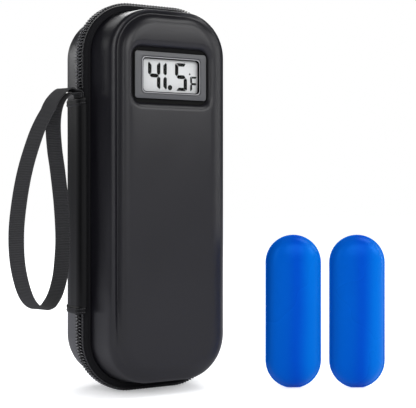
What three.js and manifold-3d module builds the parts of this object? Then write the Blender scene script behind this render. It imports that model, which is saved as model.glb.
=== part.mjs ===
// Insulin cooling case: two moulded shells joined by a zip and a fabric spine, with a thermometer in the front.
// Millimetres, +Z up, the front faces -Y. The origin is under the middle of the zip ring, on the parting plane.
import * as THREE from 'three';
import { mergeVertices } from 'three/addons/utils/BufferGeometryUtils.js';
import Module from 'manifold-3d';

const wasm = await Module();
wasm.setup();

// Zip ring, which is the widest outline of the case
const ringWidth = 93;
const ringHeight = 230;
const ringCornerRadius = 32;
const cornerSteps = 7;
const partingGap = 0.4;
const clearance = 0.3;
const overrun = 5;

// Zip chain and tape
const toothPitch = 3;
const toothWidth = 0.9;
const toothTipShare = 0.8;
const toothEngagement = 0.9;
const toothRoot = 1.35;
const chainHalfWidth = 4.7;
const coilThickness = 1.6;
const tapeThickness = 0.5;
const tapeShoulder = 5.5;
const tapeReturnThickness = 0.7;

// Front shell
const frontDepth = 30;
const frontWallInset = 5.6;
const panelInset = 14.6;
const panelStep = 2.6;
const frontTopRise = 4.4;
const frontBottomDrop = 2.9;
const frontCornerGrowth = 4.6;
const frontRimThickness = 2.1;
const frontFloorThickness = 3.6;
const frontWallShares = [
  [0.06, 0.333],
  [0.15, 0.62],
  [0.225, 0.765],
];
const frontStepShares = [
  [-1.95, 0.845],
  [-1.6, 0.876],
  [-1.1, 0.885],
  [-0.65, 0.885],
  [-0.2, 0.925],
  [0.25, 0.975],
];
const frontInnerWallShares = [
  [0.06, 0.5],
  [0.18, 0.78],
];
const frontInnerStepShares = [[-0.4, 0.9]];

// Rear shell
const rearDepth = 34;
const rearWallInset = 3.9;
const rearDraft = 0.9;
const rearEdgeRadius = 8;
const rearEdgeSteps = 3;
const rearRimThickness = 2.2;
const rearFloorThickness = 2.4;

// Insulation and lining
const frontInsulationThickness = 2.6;
const rearInsulationThickness = 4.2;
const liningThickness = 0.6;

// Spine cover
const spineBottom = 47.7;
const spineDrop = 57.5;
const coverThickness = 1.3;
const coverStandOff = 0.7;
const coverFrontReach = 8.4;
const coverRearReach = 17;
const coverFrontInset = 2.6;
const hemHeight = 4.2;
const hemThickness = 0.5;
const coverBendShare = 0.7;
const coverShoulderShares = { outside: 0.4, inside: 0.3, fold: 0.6 };

// Wrist strap
const strapWidth = 11.5;
const strapThickness = 0.8;
const strapTurn = THREE.MathUtils.degToRad(25);
const strapSteps = 84;
const coilStartAboveSpine = 8;
const strapDrop = 121;
const strapReach = 48.6;
const strapTuck = 9;
const strapInnerTurn = 3.6;
const strapOuterTurn = 2.6;
const strapTwistShares = { ribbon: 7, route: 2 };

// Thermometer
const moduleDrop = 44.9;
const bezelGap = { x: 4.25, z: 5.5 };
const bezelCornerRadius = 1.6;
const bezelThickness = 1.2;
const frameBorder = { x: 5.65, z: 4.45 };
const windowCornerRadius = 2;
const windowBevel = 0.6;
const dishWidth = 55;
const dishHeight = 38;
const dishCornerRadius = 8.5;
const dishDepth = 2.6;
const dishSlope = 3.2;
const dishSlopeShares = [
  [0, 0],
  [0.35, 0.45],
  [0.7, 0.85],
  [1, 1],
];
const housingInset = { x: 1.35, z: 1.3 };
const housingWall = 1.2;
const housingCornerRadius = 2;
const housingDepth = 13.4;
const cutoutClearance = 0.4;
const lensThickness = 0.8;
const lcdThickness = 1.4;
const lcdMargin = { x: 1.9, z: 1.45 };
const contactStripDepth = 2;
const contactStripHeight = 2;
const boardThickness = 1;
const boardMargin = 0.4;
const cellRadiusShare = 0.1324;
const cellThickness = 5.2;
const cellBevel = 0.5;
const cellGap = 0.8;
const cellPairShare = -0.1735;
const doorThickness = 1.2;
const doorOverlap = 1.2;
const doorGripDepth = 0.5;
const buttonRadiusShare = 0.057;
const buttonPlaceShare = 0.356;
const buttonHoleClearance = 0.35;
const buttonProud = 1;
const buttonTravel = 0.5;
const buttonDome = 0.4;
const sensorRadiusShare = 0.0342;
const sensorPlaceShare = 0.21;
const sensorProud = 1.6;

// Inner fittings
const pocketTopDrop = 11;
const pocketDepth = 14;
const pocketSheetThickness = 0.8;
const pocketHemHeight = 5;
const pocketHemThickness = 1.6;
const pocketFloorGap = 1;
const pocketSeamWidth = 1.6;
const penBandRise = 3;
const penBandHeight = 25;
const penBandThickness = 1;
const penLoopWidth = 17;
const penLoopHeight = 15;
const penLoopCount = 3;
const penLoopSpacing = 18.4;
const penLoopSteps = 8;

// Zip sliders
const sliderLength = 12;
const sliderHalfWidth = 5.1;
const sliderPlateThickness = 1.2;
const sliderLipThickness = 0.8;
const sliderLipGap = 0.35;
const sliderGap = 12;
const sliderMeetingRise = 5;
const bridgeLength = 8.4;
const bridgeHeight = 3.1;
const bridgeWidth = 2;
const bridgeThickness = 1;
const pullBarRadius = 0.65;
const pullLength = 15.5;
const pullWidth = 6.4;
const pullThickness = 1.3;
const pullEyeLength = 6;

// Gel packs
const packWidth = 33.6;
const packHeight = 92.5;
const packThickness = 11.5;
const packTurn = THREE.MathUtils.degToRad(-30);
const packFootCut = 0.5;
const packSeam = 0.9;
const packRimShare = 0.07;
const packEndSteps = 8;
const leftPackPlace = { x: 75.3, y: -43.5 };
const rightPackPlace = { x: 108.6, y: -62.8 };

// Derived places
const halfWidth = ringWidth / 2;
const halfHeight = ringHeight / 2;
const spineTop = ringHeight - spineDrop;
const moduleCentreHeight = ringHeight - moduleDrop;
const pocketTop = halfHeight - pocketTopDrop;
const penBandBottom = halfHeight + penBandRise;
const sliderMeetingHeight = halfHeight + sliderMeetingRise;
const bezelWidth = dishWidth - 2 * bezelGap.x;
const bezelHeight = dishHeight - 2 * bezelGap.z;
const windowWidth = bezelWidth - 2 * frameBorder.x;
const windowHeight = bezelHeight - 2 * frameBorder.z;
const lcdWidth = windowWidth + 2 * lcdMargin.x;
const lcdHeight = windowHeight + 2 * lcdMargin.z;
const housingWidth = bezelWidth - 2 * housingInset.x;
const housingHeight = bezelHeight - 2 * housingInset.z;
const cellRadius = housingWidth * cellRadiusShare;
const cellSpacing = 2 * cellRadius + cellGap;
const cellPairOffset = housingWidth * cellPairShare;
const buttonRadius = housingWidth * buttonRadiusShare;
const buttonOffset = housingWidth * buttonPlaceShare;
const sensorRadius = housingWidth * sensorRadiusShare;
const sensorOffset = housingWidth * sensorPlaceShare;
const tapeInset = coilThickness + clearance;
const flangeInset = tapeInset + tapeThickness + clearance;
const flangeDepth = tapeShoulder - clearance;
const frontFloor = -frontDepth + frontFloorThickness;
const rearFloor = rearDepth - rearFloorThickness;
const dishFloor = -frontDepth + dishDepth;
const bezelBack = dishFloor - clearance;
const housingFront = bezelBack + clearance;
const housingBack = housingFront + housingDepth;
const lensBack = housingFront + lensThickness;
const lcdBack = lensBack + clearance + lcdThickness;
const contactBack = lcdBack + clearance + contactStripDepth;
const boardBack = contactBack + clearance + boardThickness;
const cellFront = boardBack + clearance;
const coverInner = halfWidth + coverStandOff;
const coverOuter = coverInner + coverThickness;

const group = new THREE.Group();

const finishes = {
  leatherette: { color: 0x1b1b1e, roughness: 0.5, metalness: 0 },
  foam: { color: 0xd8d8d4, roughness: 0.9, metalness: 0 },
  lining: { color: 0x9da1a6, roughness: 0.35, metalness: 0.4 },
  tape: { color: 0x17171a, roughness: 0.85, metalness: 0 },
  coil: { color: 0x121214, roughness: 0.45, metalness: 0 },
  webbing: { color: 0x1d1d20, roughness: 0.8, metalness: 0 },
  bezel: { color: 0x4b4d50, roughness: 0.45, metalness: 0 },
  clear: { color: 0xdfe3e0, roughness: 0.1, metalness: 0 },
  display: { color: 0xc9cdc6, roughness: 0.3, metalness: 0 },
  board: { color: 0x1f5a34, roughness: 0.6, metalness: 0 },
  rubber: { color: 0x26262a, roughness: 0.7, metalness: 0 },
  steel: { color: 0xb9babd, roughness: 0.3, metalness: 1 },
  sliderMetal: { color: 0x2a2b2e, roughness: 0.4, metalness: 0.8 },
  gel: { color: 0x0a55d8, roughness: 0.35, metalness: 0 },
};

// Adds one named piece to the case
function addPiece(name, geometry, finish) {
  const piece = new THREE.Mesh(geometry, new THREE.MeshStandardMaterial(finishes[finish]));
  piece.name = name;
  group.add(piece);
  return piece;
}

// Points of a rounded rectangle, counter-clockwise, with the same count for every size
function roundedRectangle(halfX, halfZ, radius, steps = cornerSteps) {
  const points = [];
  const centres = [
    [halfX - radius, halfZ - radius],
    [radius - halfX, halfZ - radius],
    [radius - halfX, radius - halfZ],
    [halfX - radius, radius - halfZ],
  ];
  centres.forEach(([centreX, centreZ], corner) => {
    for (let step = 0; step <= steps; step += 1) {
      const angle = (corner + step / steps) * (Math.PI / 2);
      points.push([centreX + radius * Math.cos(angle), centreZ + radius * Math.sin(angle)]);
    }
  });
  return points;
}

// A rounded rectangle in an upright plane at depth y, centred at a height
function uprightLoop(halfX, halfZ, radius, y, height, steps) {
  return roundedRectangle(halfX, halfZ, radius, steps).map(
    ([x, z]) => new THREE.Vector3(x, y, z + height),
  );
}

// The zip ring's outline drawn in by an inset, at depth y
function ringLoop(inset, y) {
  return uprightLoop(halfWidth - inset, halfHeight - inset, ringCornerRadius - inset, y, halfHeight);
}

// The front shell's outline: past the rim it leans less at its ends than at its sides, and has rounder corners
function frontLoop(inset, y) {
  const lean = THREE.MathUtils.clamp((inset - frontWallInset) / (panelInset - panelStep - frontWallInset), 0, 1);
  const rise = frontTopRise * lean;
  const drop = frontBottomDrop * lean;
  return uprightLoop(
    halfWidth - inset,
    halfHeight - inset + (rise + drop) / 2,
    ringCornerRadius - inset + frontCornerGrowth * lean,
    y,
    halfHeight + (rise - drop) / 2,
  );
}

// A closed body through loops of equal point counts: capped at both ends, or joined back to the first loop
function loft(loops, capped = true) {
  const count = loops[0].length;
  const positions = loops.flatMap((loop) => loop.flatMap((point) => [point.x, point.y, point.z]));
  const indices = [];
  const spans = capped ? loops.length - 1 : loops.length;
  for (let span = 0; span < spans; span += 1) {
    const near = span * count;
    const far = ((span + 1) % loops.length) * count;
    for (let i = 0; i < count; i += 1) {
      const next = (i + 1) % count;
      indices.push(near + i, near + next, far + next, near + i, far + next, far + i);
    }
  }
  if (capped) {
    addCap(indices, loops[0], 0, false);
    addCap(indices, loops[loops.length - 1], (loops.length - 1) * count, true);
  }
  const geometry = new THREE.BufferGeometry();
  geometry.setAttribute('position', new THREE.Float32BufferAttribute(positions, 3));
  geometry.setIndex(indices);
  return facingOut(geometry);
}

// Triangles that close a flat loop, seen in its own plane
function addCap(indices, loop, start, forward) {
  const centre = new THREE.Vector3();
  loop.forEach((point) => centre.add(point));
  centre.divideScalar(loop.length);
  const normal = new THREE.Vector3();
  loop.forEach((point, i) => {
    const next = loop[(i + 1) % loop.length];
    normal.add(point.clone().sub(centre).cross(next.clone().sub(centre)));
  });
  const toPlane = new THREE.Quaternion().setFromUnitVectors(normal.normalize(), new THREE.Vector3(0, 0, 1));
  const flat = loop.map((point) => {
    const turned = point.clone().sub(centre).applyQuaternion(toPlane);
    return new THREE.Vector2(turned.x, turned.y);
  });
  THREE.ShapeUtils.triangulateShape(flat, []).forEach(([a, b, c]) => {
    if (forward) indices.push(start + a, start + b, start + c);
    else indices.push(start + c, start + b, start + a);
  });
}

// Turns every face outwards, going by the sign of the enclosed volume
function facingOut(geometry) {
  const position = geometry.getAttribute('position');
  const index = geometry.getIndex().array;
  const corner = (i) => new THREE.Vector3().fromBufferAttribute(position, index[i]);
  let volume = 0;
  for (let i = 0; i < index.length; i += 3) {
    volume += corner(i).dot(corner(i + 1).cross(corner(i + 2)));
  }
  if (volume < 0) {
    for (let i = 0; i < index.length; i += 3) {
      [index[i + 1], index[i + 2]] = [index[i + 2], index[i + 1]];
    }
  }
  return geometry;
}

// Boolean solids
function toSolid(geometry) {
  const bare = geometry.clone();
  bare.deleteAttribute('normal');
  bare.deleteAttribute('uv');
  const merged = mergeVertices(bare);
  return new wasm.Manifold(
    new wasm.Mesh({
      numProp: 3,
      vertProperties: new Float32Array(merged.getAttribute('position').array),
      triVerts: new Uint32Array(merged.getIndex().array),
    }),
  );
}

function fromSolid(solid) {
  const mesh = solid.getMesh();
  const geometry = new THREE.BufferGeometry();
  geometry.setAttribute('position', new THREE.Float32BufferAttribute(mesh.vertProperties, 3));
  geometry.setIndex(Array.from(mesh.triVerts));
  return geometry;
}

function cut(geometry, ...tools) {
  return fromSolid(tools.reduce((body, tool) => body.subtract(toSolid(tool)), toSolid(geometry)));
}

function join(geometry, ...additions) {
  return fromSolid(additions.reduce((body, more) => body.add(toSolid(more)), toSolid(geometry)));
}

// A box given by its low and high corners
function block(low, high) {
  const size = new THREE.Vector3(high[0] - low[0], high[1] - low[1], high[2] - low[2]);
  const box = new THREE.BoxGeometry(size.x, size.y, size.z);
  return box.translate(low[0] + size.x / 2, low[1] + size.y / 2, low[2] + size.z / 2);
}

// A rounded plate that faces the front, between two depths
function plate(width, height, radius, front, back, steps = 3) {
  const loop = (y) => uprightLoop(width / 2, height / 2, radius, y, moduleCentreHeight, steps);
  return loft([loop(front), loop(back)]);
}

// A round piece turned about an axis that runs front to back, from radius and depth pairs
function turned(profile, x, z, segments = 16) {
  const points = profile.map(([radius, y]) => new THREE.Vector2(radius, y));
  return new THREE.LatheGeometry(points, segments).translate(x, 0, z);
}

// Shell profiles: each entry is an inset from the ring and a depth
const frontOuterProfile = [
  [flangeInset, -partingGap],
  [flangeInset, -flangeDepth],
  [frontWallInset, -flangeDepth],
  ...frontWallShares.map(([inset, depth]) => [frontWallInset + panelInset * inset, -frontDepth * depth]),
  ...frontStepShares.map(([inset, depth]) => [panelInset + panelStep * inset, -frontDepth * depth]),
  [panelInset + panelStep, -frontDepth],
];
const frontInnerInset = frontWallInset + frontRimThickness;
const frontInnerProfile = [
  [frontInnerInset, -partingGap],
  ...frontInnerWallShares.map(([inset, depth]) => [frontInnerInset + panelInset * inset, frontFloor * depth]),
  ...frontInnerStepShares.map(([inset, depth]) => [panelInset + panelStep * inset, frontFloor * depth]),
  [panelInset + panelStep, frontFloor],
];

function rearEdge(inset, depth, radius) {
  const points = [];
  for (let step = 0; step <= rearEdgeSteps; step += 1) {
    const angle = (step / rearEdgeSteps) * (Math.PI / 2);
    const across = radius * (1 - Math.cos(angle));
    const along = radius * (1 - Math.sin(angle));
    points.push([inset + across, depth - along]);
  }
  return points;
}

const rearOuterProfile = [
  [flangeInset, partingGap],
  [flangeInset, flangeDepth],
  [rearWallInset, flangeDepth],
  ...rearEdge(rearWallInset + rearDraft, rearDepth, rearEdgeRadius),
];
const rearInnerInset = rearWallInset + rearRimThickness;
const rearInnerProfile = [
  [rearInnerInset, partingGap],
  ...rearEdge(rearInnerInset + rearDraft, rearFloor, rearEdgeRadius - rearFloorThickness),
];

// The same profile moved inwards from the walls and the floor, with its rim kept on the parting plane
function drawnIn(profile, distance) {
  return profile.map(([inset, y], i) => [inset + distance, i === 0 ? y : y - Math.sign(y) * distance]);
}

function trayBetween(outer, inner, outerLoop = ringLoop) {
  const outside = outer.map(([inset, y]) => outerLoop(inset, y)).reverse();
  const inside = inner.map(([inset, y]) => ringLoop(inset, y));
  return loft([...outside, ...inside]);
}

const frontLiningOffset = frontInsulationThickness + 2 * clearance;
const frontCavityOffset = frontLiningOffset + liningThickness;
const rearLiningOffset = rearInsulationThickness + 2 * clearance;
const rearCavityOffset = rearLiningOffset + liningThickness;

// Cutters for the thermometer
function dishCutter() {
  const loop = (drawIn, y) =>
    uprightLoop(
      dishWidth / 2 - drawIn,
      dishHeight / 2 - drawIn,
      dishCornerRadius - drawIn,
      y,
      moduleCentreHeight,
    );
  return loft([
    loop(0, -frontDepth - overrun),
    ...dishSlopeShares.map(([across, down]) => loop(dishSlope * across, -frontDepth + dishDepth * down)),
  ]);
}

function moduleCutter() {
  return plate(
    housingWidth + 2 * cutoutClearance,
    housingHeight + 2 * cutoutClearance,
    housingCornerRadius + cutoutClearance,
    -frontDepth - overrun,
    housingBack + overrun,
  );
}

addPiece(
  'front_shell',
  cut(trayBetween(frontOuterProfile, frontInnerProfile, frontLoop), dishCutter(), moduleCutter()),
  'leatherette',
);
addPiece(
  'front_insulation',
  cut(
    trayBetween(
      drawnIn(frontInnerProfile, clearance),
      drawnIn(frontInnerProfile, frontLiningOffset - clearance),
    ),
    moduleCutter(),
  ),
  'foam',
);
addPiece(
  'front_lining',
  cut(
    trayBetween(
      drawnIn(frontInnerProfile, frontLiningOffset),
      drawnIn(frontInnerProfile, frontCavityOffset),
    ),
    moduleCutter(),
  ),
  'lining',
);
addPiece('rear_shell', trayBetween(rearOuterProfile, rearInnerProfile), 'leatherette');
addPiece(
  'rear_insulation',
  trayBetween(
    drawnIn(rearInnerProfile, clearance),
    drawnIn(rearInnerProfile, rearLiningOffset - clearance),
  ),
  'foam',
);
addPiece(
  'rear_lining',
  trayBetween(drawnIn(rearInnerProfile, rearLiningOffset), drawnIn(rearInnerProfile, rearCavityOffset)),
  'lining',
);

// Zip tape: a band on the flange that turns in behind it at the shell's wall
function zipTape(side, wallInset) {
  const returnEnd = wallInset - clearance;
  const far = tapeShoulder + tapeReturnThickness;
  const inner = tapeInset + tapeThickness;
  const profile = [
    [tapeInset, partingGap],
    [tapeInset, far],
    [returnEnd, far],
    [returnEnd, tapeShoulder],
    [inner, tapeShoulder],
    [inner, partingGap],
  ];
  return loft(profile.map(([inset, y]) => ringLoop(inset, side * y)), false);
}

addPiece('front_zip_tape', zipTape(-1, frontWallInset), 'tape');
addPiece('rear_zip_tape', zipTape(1, rearWallInset), 'tape');

// A place on the ring at a distance along it, which runs from the middle of the left side up and round
const straightUp = halfHeight - ringCornerRadius;
const straightAcross = halfWidth - ringCornerRadius;
const cornerArc = (ringCornerRadius * Math.PI) / 2;
const ringLength = 4 * (straightUp + straightAcross + cornerArc);

function ringPlace(distance, inset) {
  const radius = ringCornerRadius - inset;
  const stretches = [
    { length: straightUp, from: [-halfWidth + inset, halfHeight], way: [0, 1] },
    { length: cornerArc, centre: [-straightAcross, halfHeight + straightUp], start: Math.PI },
    { length: 2 * straightAcross, from: [-straightAcross, ringHeight - inset], way: [1, 0] },
    { length: cornerArc, centre: [straightAcross, halfHeight + straightUp], start: Math.PI / 2 },
    { length: 2 * straightUp, from: [halfWidth - inset, halfHeight + straightUp], way: [0, -1] },
    { length: cornerArc, centre: [straightAcross, ringCornerRadius], start: 0 },
    { length: 2 * straightAcross, from: [straightAcross, inset], way: [-1, 0] },
    { length: cornerArc, centre: [-straightAcross, ringCornerRadius], start: -Math.PI / 2 },
    { length: straightUp, from: [-halfWidth + inset, ringCornerRadius], way: [0, 1] },
  ];
  let left = distance;
  for (const stretch of stretches) {
    if (left <= stretch.length || stretch === stretches[stretches.length - 1]) {
      if (stretch.way) return [stretch.from[0] + stretch.way[0] * left, stretch.from[1] + stretch.way[1] * left];
      const angle = stretch.start - left / ringCornerRadius;
      return [stretch.centre[0] + radius * Math.cos(angle), stretch.centre[1] + radius * Math.sin(angle)];
    }
    left -= stretch.length;
  }
  return null;
}

// One half of the zip chain: a comb of teeth on a cord, bent round the ring, whose teeth stand between the other's
const coilStart = spineTop + coilStartAboveSpine - halfHeight;
const coilEnd = ringLength - (halfHeight - spineBottom) - clearance;
const toothCount = Math.floor((coilEnd - coilStart) / toothPitch) - 1;

function zipCoil(side) {
  const shift = side < 0 ? 0 : toothPitch / 2;
  const outline = [];
  for (let tooth = 0; tooth < toothCount; tooth += 1) {
    const heel = coilStart + shift + tooth * toothPitch;
    const centre = heel + toothPitch / 2;
    const tip = (toothWidth * toothTipShare) / 2;
    outline.push({
      heel: [heel, chainHalfWidth],
      rootStart: [centre - toothWidth / 2, toothRoot],
      tipStart: [centre - tip, -toothEngagement],
      tipEnd: [centre + tip, -toothEngagement],
      rootEnd: [centre + toothWidth / 2, toothRoot],
    });
  }
  const positions = [];
  const indices = [];
  const addPoint = ([distance, across], inset) => {
    const [x, z] = ringPlace(distance, inset);
    positions.push(x, side * across, z);
    return positions.length / 3 - 1;
  };
  const corners = outline.map((tooth) =>
    Object.fromEntries(
      Object.entries(tooth).map(([key, place]) => [key, [addPoint(place, 0), addPoint(place, coilThickness)]]),
    ),
  );
  const lastHeel = [outline[toothCount - 1].heel[0] + toothPitch, chainHalfWidth];
  const end = [addPoint(lastHeel, 0), addPoint(lastHeel, coilThickness)];
  const face = (a, b, c) => {
    indices.push(a[0], b[0], c[0], c[1], b[1], a[1]);
  };
  const wall = (a, b) => {
    indices.push(b[0], a[0], a[1], b[0], a[1], b[1]);
  };
  corners.forEach((tooth, i) => {
    const next = corners[i + 1];
    const nextHeel = next ? next.heel : end;
    face(tooth.heel, tooth.rootStart, tooth.rootEnd);
    face(tooth.heel, tooth.rootEnd, nextHeel);
    face(tooth.rootStart, tooth.tipStart, tooth.tipEnd);
    face(tooth.rootStart, tooth.tipEnd, tooth.rootEnd);
    if (next) face(nextHeel, tooth.rootEnd, next.rootStart);
    wall(tooth.rootStart, tooth.tipStart);
    wall(tooth.tipStart, tooth.tipEnd);
    wall(tooth.tipEnd, tooth.rootEnd);
    wall(tooth.rootEnd, next ? next.rootStart : end);
    wall(nextHeel, tooth.heel);
  });
  wall(corners[0].heel, corners[0].rootStart);
  const geometry = new THREE.BufferGeometry();
  geometry.setAttribute('position', new THREE.Float32BufferAttribute(positions, 3));
  geometry.setIndex(indices);
  return facingOut(geometry);
}

addPiece('front_zip_coil', zipCoil(-1), 'coil');
addPiece('rear_zip_coil', zipCoil(1), 'coil');

// Spine cover: one half on each shell, folding along the parting plane, with a sewn hem at both ends
function spineCover(side, reach, wallInset) {
  const wallX = halfWidth - wallInset;
  const bend = tapeShoulder + tapeReturnThickness + clearance;
  const outerBend = bend + coverThickness * coverShoulderShares.fold;
  const section = (thicker) => [
    [coverInner, partingGap],
    [coverOuter + thicker, partingGap],
    [coverOuter + thicker, bend * coverBendShare],
    [coverOuter + thicker - coverThickness * coverShoulderShares.outside, outerBend],
    [wallX + clearance + coverThickness + thicker, reach],
    [wallX + clearance, reach],
    [wallX + clearance, outerBend],
    [coverInner - coverThickness * coverShoulderShares.inside, bend],
    [coverInner, bend * coverBendShare],
  ];
  const loopAt = (z, thicker) => section(thicker).map(([x, y]) => new THREE.Vector3(-x, side * y, z));
  return loft([
    loopAt(spineBottom, 0),
    loopAt(spineBottom + clearance, hemThickness),
    loopAt(spineBottom + hemHeight - clearance, hemThickness),
    loopAt(spineBottom + hemHeight, 0),
    loopAt(spineTop - hemHeight, 0),
    loopAt(spineTop - hemHeight + clearance, hemThickness),
    loopAt(spineTop - clearance, hemThickness),
    loopAt(spineTop, 0),
  ]);
}

addPiece('spine_cover_front', spineCover(-1, coverFrontReach, coverFrontInset), 'leatherette');
addPiece('spine_cover_rear', spineCover(1, coverRearReach, rearWallInset), 'leatherette');

// Wrist strap: one ribbon whose two ends are tucked under the top of the spine cover.
// Each place is a reach from the chain's face and a drop below the spine's top, in shares of the loop's own size
const strapPlies = {
  inner: halfWidth - tapeInset + clearance + strapThickness / 2,
  outer: halfWidth - tapeInset + 2 * clearance + strapThickness * 1.5,
};
const strapRouteShares = [
  [0.075, -0.035],
  [0.17, -0.04],
  [0.29, -0.01],
  [0.43, 0.04],
  [0.58, 0.115],
  [0.71, 0.205],
  [0.86, 0.35],
  [0.955, 0.5],
  [1, 0.65],
  [0.965, 0.8],
  [0.83, 0.935],
  [0.62, 0.99],
  [0.38, 0.955],
  [0.255, 0.87],
  [0.205, 0.75],
  [0.195, 0.65],
  [0.225, 0.5],
  [0.285, 0.35],
  [0.34, 0.25],
  [0.37, 0.14],
  [0.315, 0.065],
  [0.21, 0.02],
  [0.12, 0.005],
];

function strapPath() {
  const face = halfWidth + coverStandOff;
  const place = (x, z) => new THREE.Vector3(x, 0, z);
  const route = strapRouteShares.map(([out, down]) => place(face + out * strapReach, spineTop - down * strapDrop));
  return new THREE.CatmullRomCurve3([
    place(strapPlies.inner, spineTop - strapTuck),
    place(strapPlies.inner, spineTop),
    place(strapPlies.inner + strapThickness, spineTop + strapInnerTurn),
    ...route,
    place(strapPlies.outer + strapThickness, spineTop + strapOuterTurn),
    place(strapPlies.outer, spineTop),
    place(strapPlies.outer, spineTop - strapTuck),
  ]);
}

function wristStrap() {
  const path = strapPath();
  const loops = [];
  for (let step = 0; step <= strapSteps; step += 1) {
    const share = step / strapSteps;
    const centre = path.getPointAt(share);
    const along = path.getTangentAt(share);
    const reach = Math.max(0, centre.x - halfWidth) / strapReach;
    const turn = strapTurn * Math.min(1, reach * strapTwistShares.ribbon);
    const bearing = strapTurn * Math.min(1, reach * strapTwistShares.route);
    const radial = centre.x - halfWidth;
    const out = new THREE.Vector3(-Math.cos(bearing), -Math.sin(bearing), 0);
    const ribbonOut = new THREE.Vector3(-Math.cos(turn), -Math.sin(turn), 0);
    const across = new THREE.Vector3(-Math.sin(turn), Math.cos(turn), 0);
    const middle = new THREE.Vector3(-halfWidth, 0, centre.z).addScaledVector(out, radial);
    const flat = ribbonOut.clone().multiplyScalar(-along.z).add(new THREE.Vector3(0, 0, along.x)).normalize();
    const corner = (w, t) =>
      middle.clone().addScaledVector(across, (w * strapWidth) / 2).addScaledVector(flat, (t * strapThickness) / 2);
    loops.push([corner(-1, -1), corner(1, -1), corner(1, 1), corner(-1, 1)]);
  }
  return loft(loops);
}

addPiece('wrist_strap', wristStrap(), 'webbing');

// Thermometer module
function displayBezel() {
  const windowLoop = (grow, y) =>
    uprightLoop(
      windowWidth / 2 + grow,
      windowHeight / 2 + grow,
      windowCornerRadius + grow,
      y,
      moduleCentreHeight,
      3,
    );
  const front = bezelBack - bezelThickness;
  const edge = (drawIn, y) =>
    uprightLoop(
      bezelWidth / 2 - drawIn,
      bezelHeight / 2 - drawIn,
      bezelCornerRadius - drawIn,
      y,
      moduleCentreHeight,
      4,
    );
  const frame = loft([edge(0, bezelBack), edge(0, front + windowBevel), edge(windowBevel, front)]);
  const opening = loft([
    windowLoop(windowBevel * 2, front - overrun),
    windowLoop(windowBevel * 2, front),
    windowLoop(0, front + windowBevel),
    windowLoop(0, bezelBack + overrun),
  ]);
  return cut(frame, opening);
}

const cellPlaces = [cellPairOffset - cellSpacing / 2, cellPairOffset + cellSpacing / 2];
const cellsWidth = cellSpacing + 2 * (cellRadius + clearance);
const cellsHeight = 2 * (cellRadius + clearance);

function moduleHousing() {
  const outside = plate(housingWidth, housingHeight, housingCornerRadius, housingFront, housingBack);
  const hollow = plate(
    housingWidth - 2 * housingWall,
    housingHeight - 2 * housingWall,
    housingCornerRadius - housingWall / 2,
    housingFront - overrun,
    housingBack - housingWall,
  );
  const cellWindow = block(
    [cellPairOffset - cellsWidth / 2, housingBack - 2 * housingWall, moduleCentreHeight - cellsHeight / 2],
    [cellPairOffset + cellsWidth / 2, housingBack + overrun, moduleCentreHeight + cellsHeight / 2],
  );
  const roundHole = (radius, x) =>
    turned(
      [
        [0, housingBack - 2 * housingWall],
        [radius, housingBack - 2 * housingWall],
        [radius, housingBack + overrun],
        [0, housingBack + overrun],
      ],
      x,
      moduleCentreHeight,
    );
  return cut(
    outside,
    hollow,
    cellWindow,
    roundHole(buttonRadius + buttonHoleClearance, buttonOffset),
    roundHole(sensorRadius + buttonHoleClearance, sensorOffset),
  );
}

function buttonCell(x) {
  const back = cellFront + cellThickness;
  return turned(
    [
      [0, cellFront],
      [cellRadius - cellBevel * 2, cellFront],
      [cellRadius - cellBevel * 2, cellFront + cellBevel],
      [cellRadius, cellFront + cellBevel * 2],
      [cellRadius, back - cellBevel],
      [cellRadius - cellBevel, back],
      [0, back],
    ],
    x,
    moduleCentreHeight,
  );
}

function batteryDoor() {
  const front = housingBack + clearance;
  const low = [cellPairOffset - cellsWidth / 2 - doorOverlap, front, moduleCentreHeight - cellsHeight / 2 - doorOverlap];
  const high = [
    cellPairOffset + cellsWidth / 2 + doorOverlap,
    front + doorThickness,
    moduleCentreHeight + cellsHeight / 2 + doorOverlap,
  ];
  const gripWidth = doorOverlap;
  const grips = [1, 2, 3].map((place) =>
    block(
      [low[0] + place * 2 * gripWidth, high[1] - doorGripDepth, moduleCentreHeight - cellsHeight / 4],
      [low[0] + (place * 2 + 1) * gripWidth, high[1] + overrun, moduleCentreHeight + cellsHeight / 4],
    ),
  );
  return cut(block(low, high), ...grips);
}

function unitButton() {
  const front = boardBack + clearance + buttonTravel;
  const back = housingBack + buttonProud;
  return turned(
    [
      [0, front],
      [buttonRadius, front],
      [buttonRadius, back - buttonDome],
      [buttonRadius - buttonDome, back],
      [0, back],
    ],
    buttonOffset,
    moduleCentreHeight,
  );
}

function temperatureSensor() {
  const back = housingBack + sensorProud;
  return turned(
    [
      [0, boardBack + clearance],
      [sensorRadius, boardBack + clearance],
      [sensorRadius, back - sensorRadius],
      [sensorRadius * Math.cos(Math.PI / 4), back - sensorRadius * (1 - Math.sin(Math.PI / 4))],
      [0, back],
    ],
    sensorOffset,
    moduleCentreHeight,
    16,
  );
}

const boardWidth = housingWidth - 2 * (housingWall + boardMargin);
const boardHeight = housingHeight - 2 * (housingWall + boardMargin);
const contactHeight = moduleCentreHeight + lcdHeight / 2 - contactStripHeight;

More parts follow.
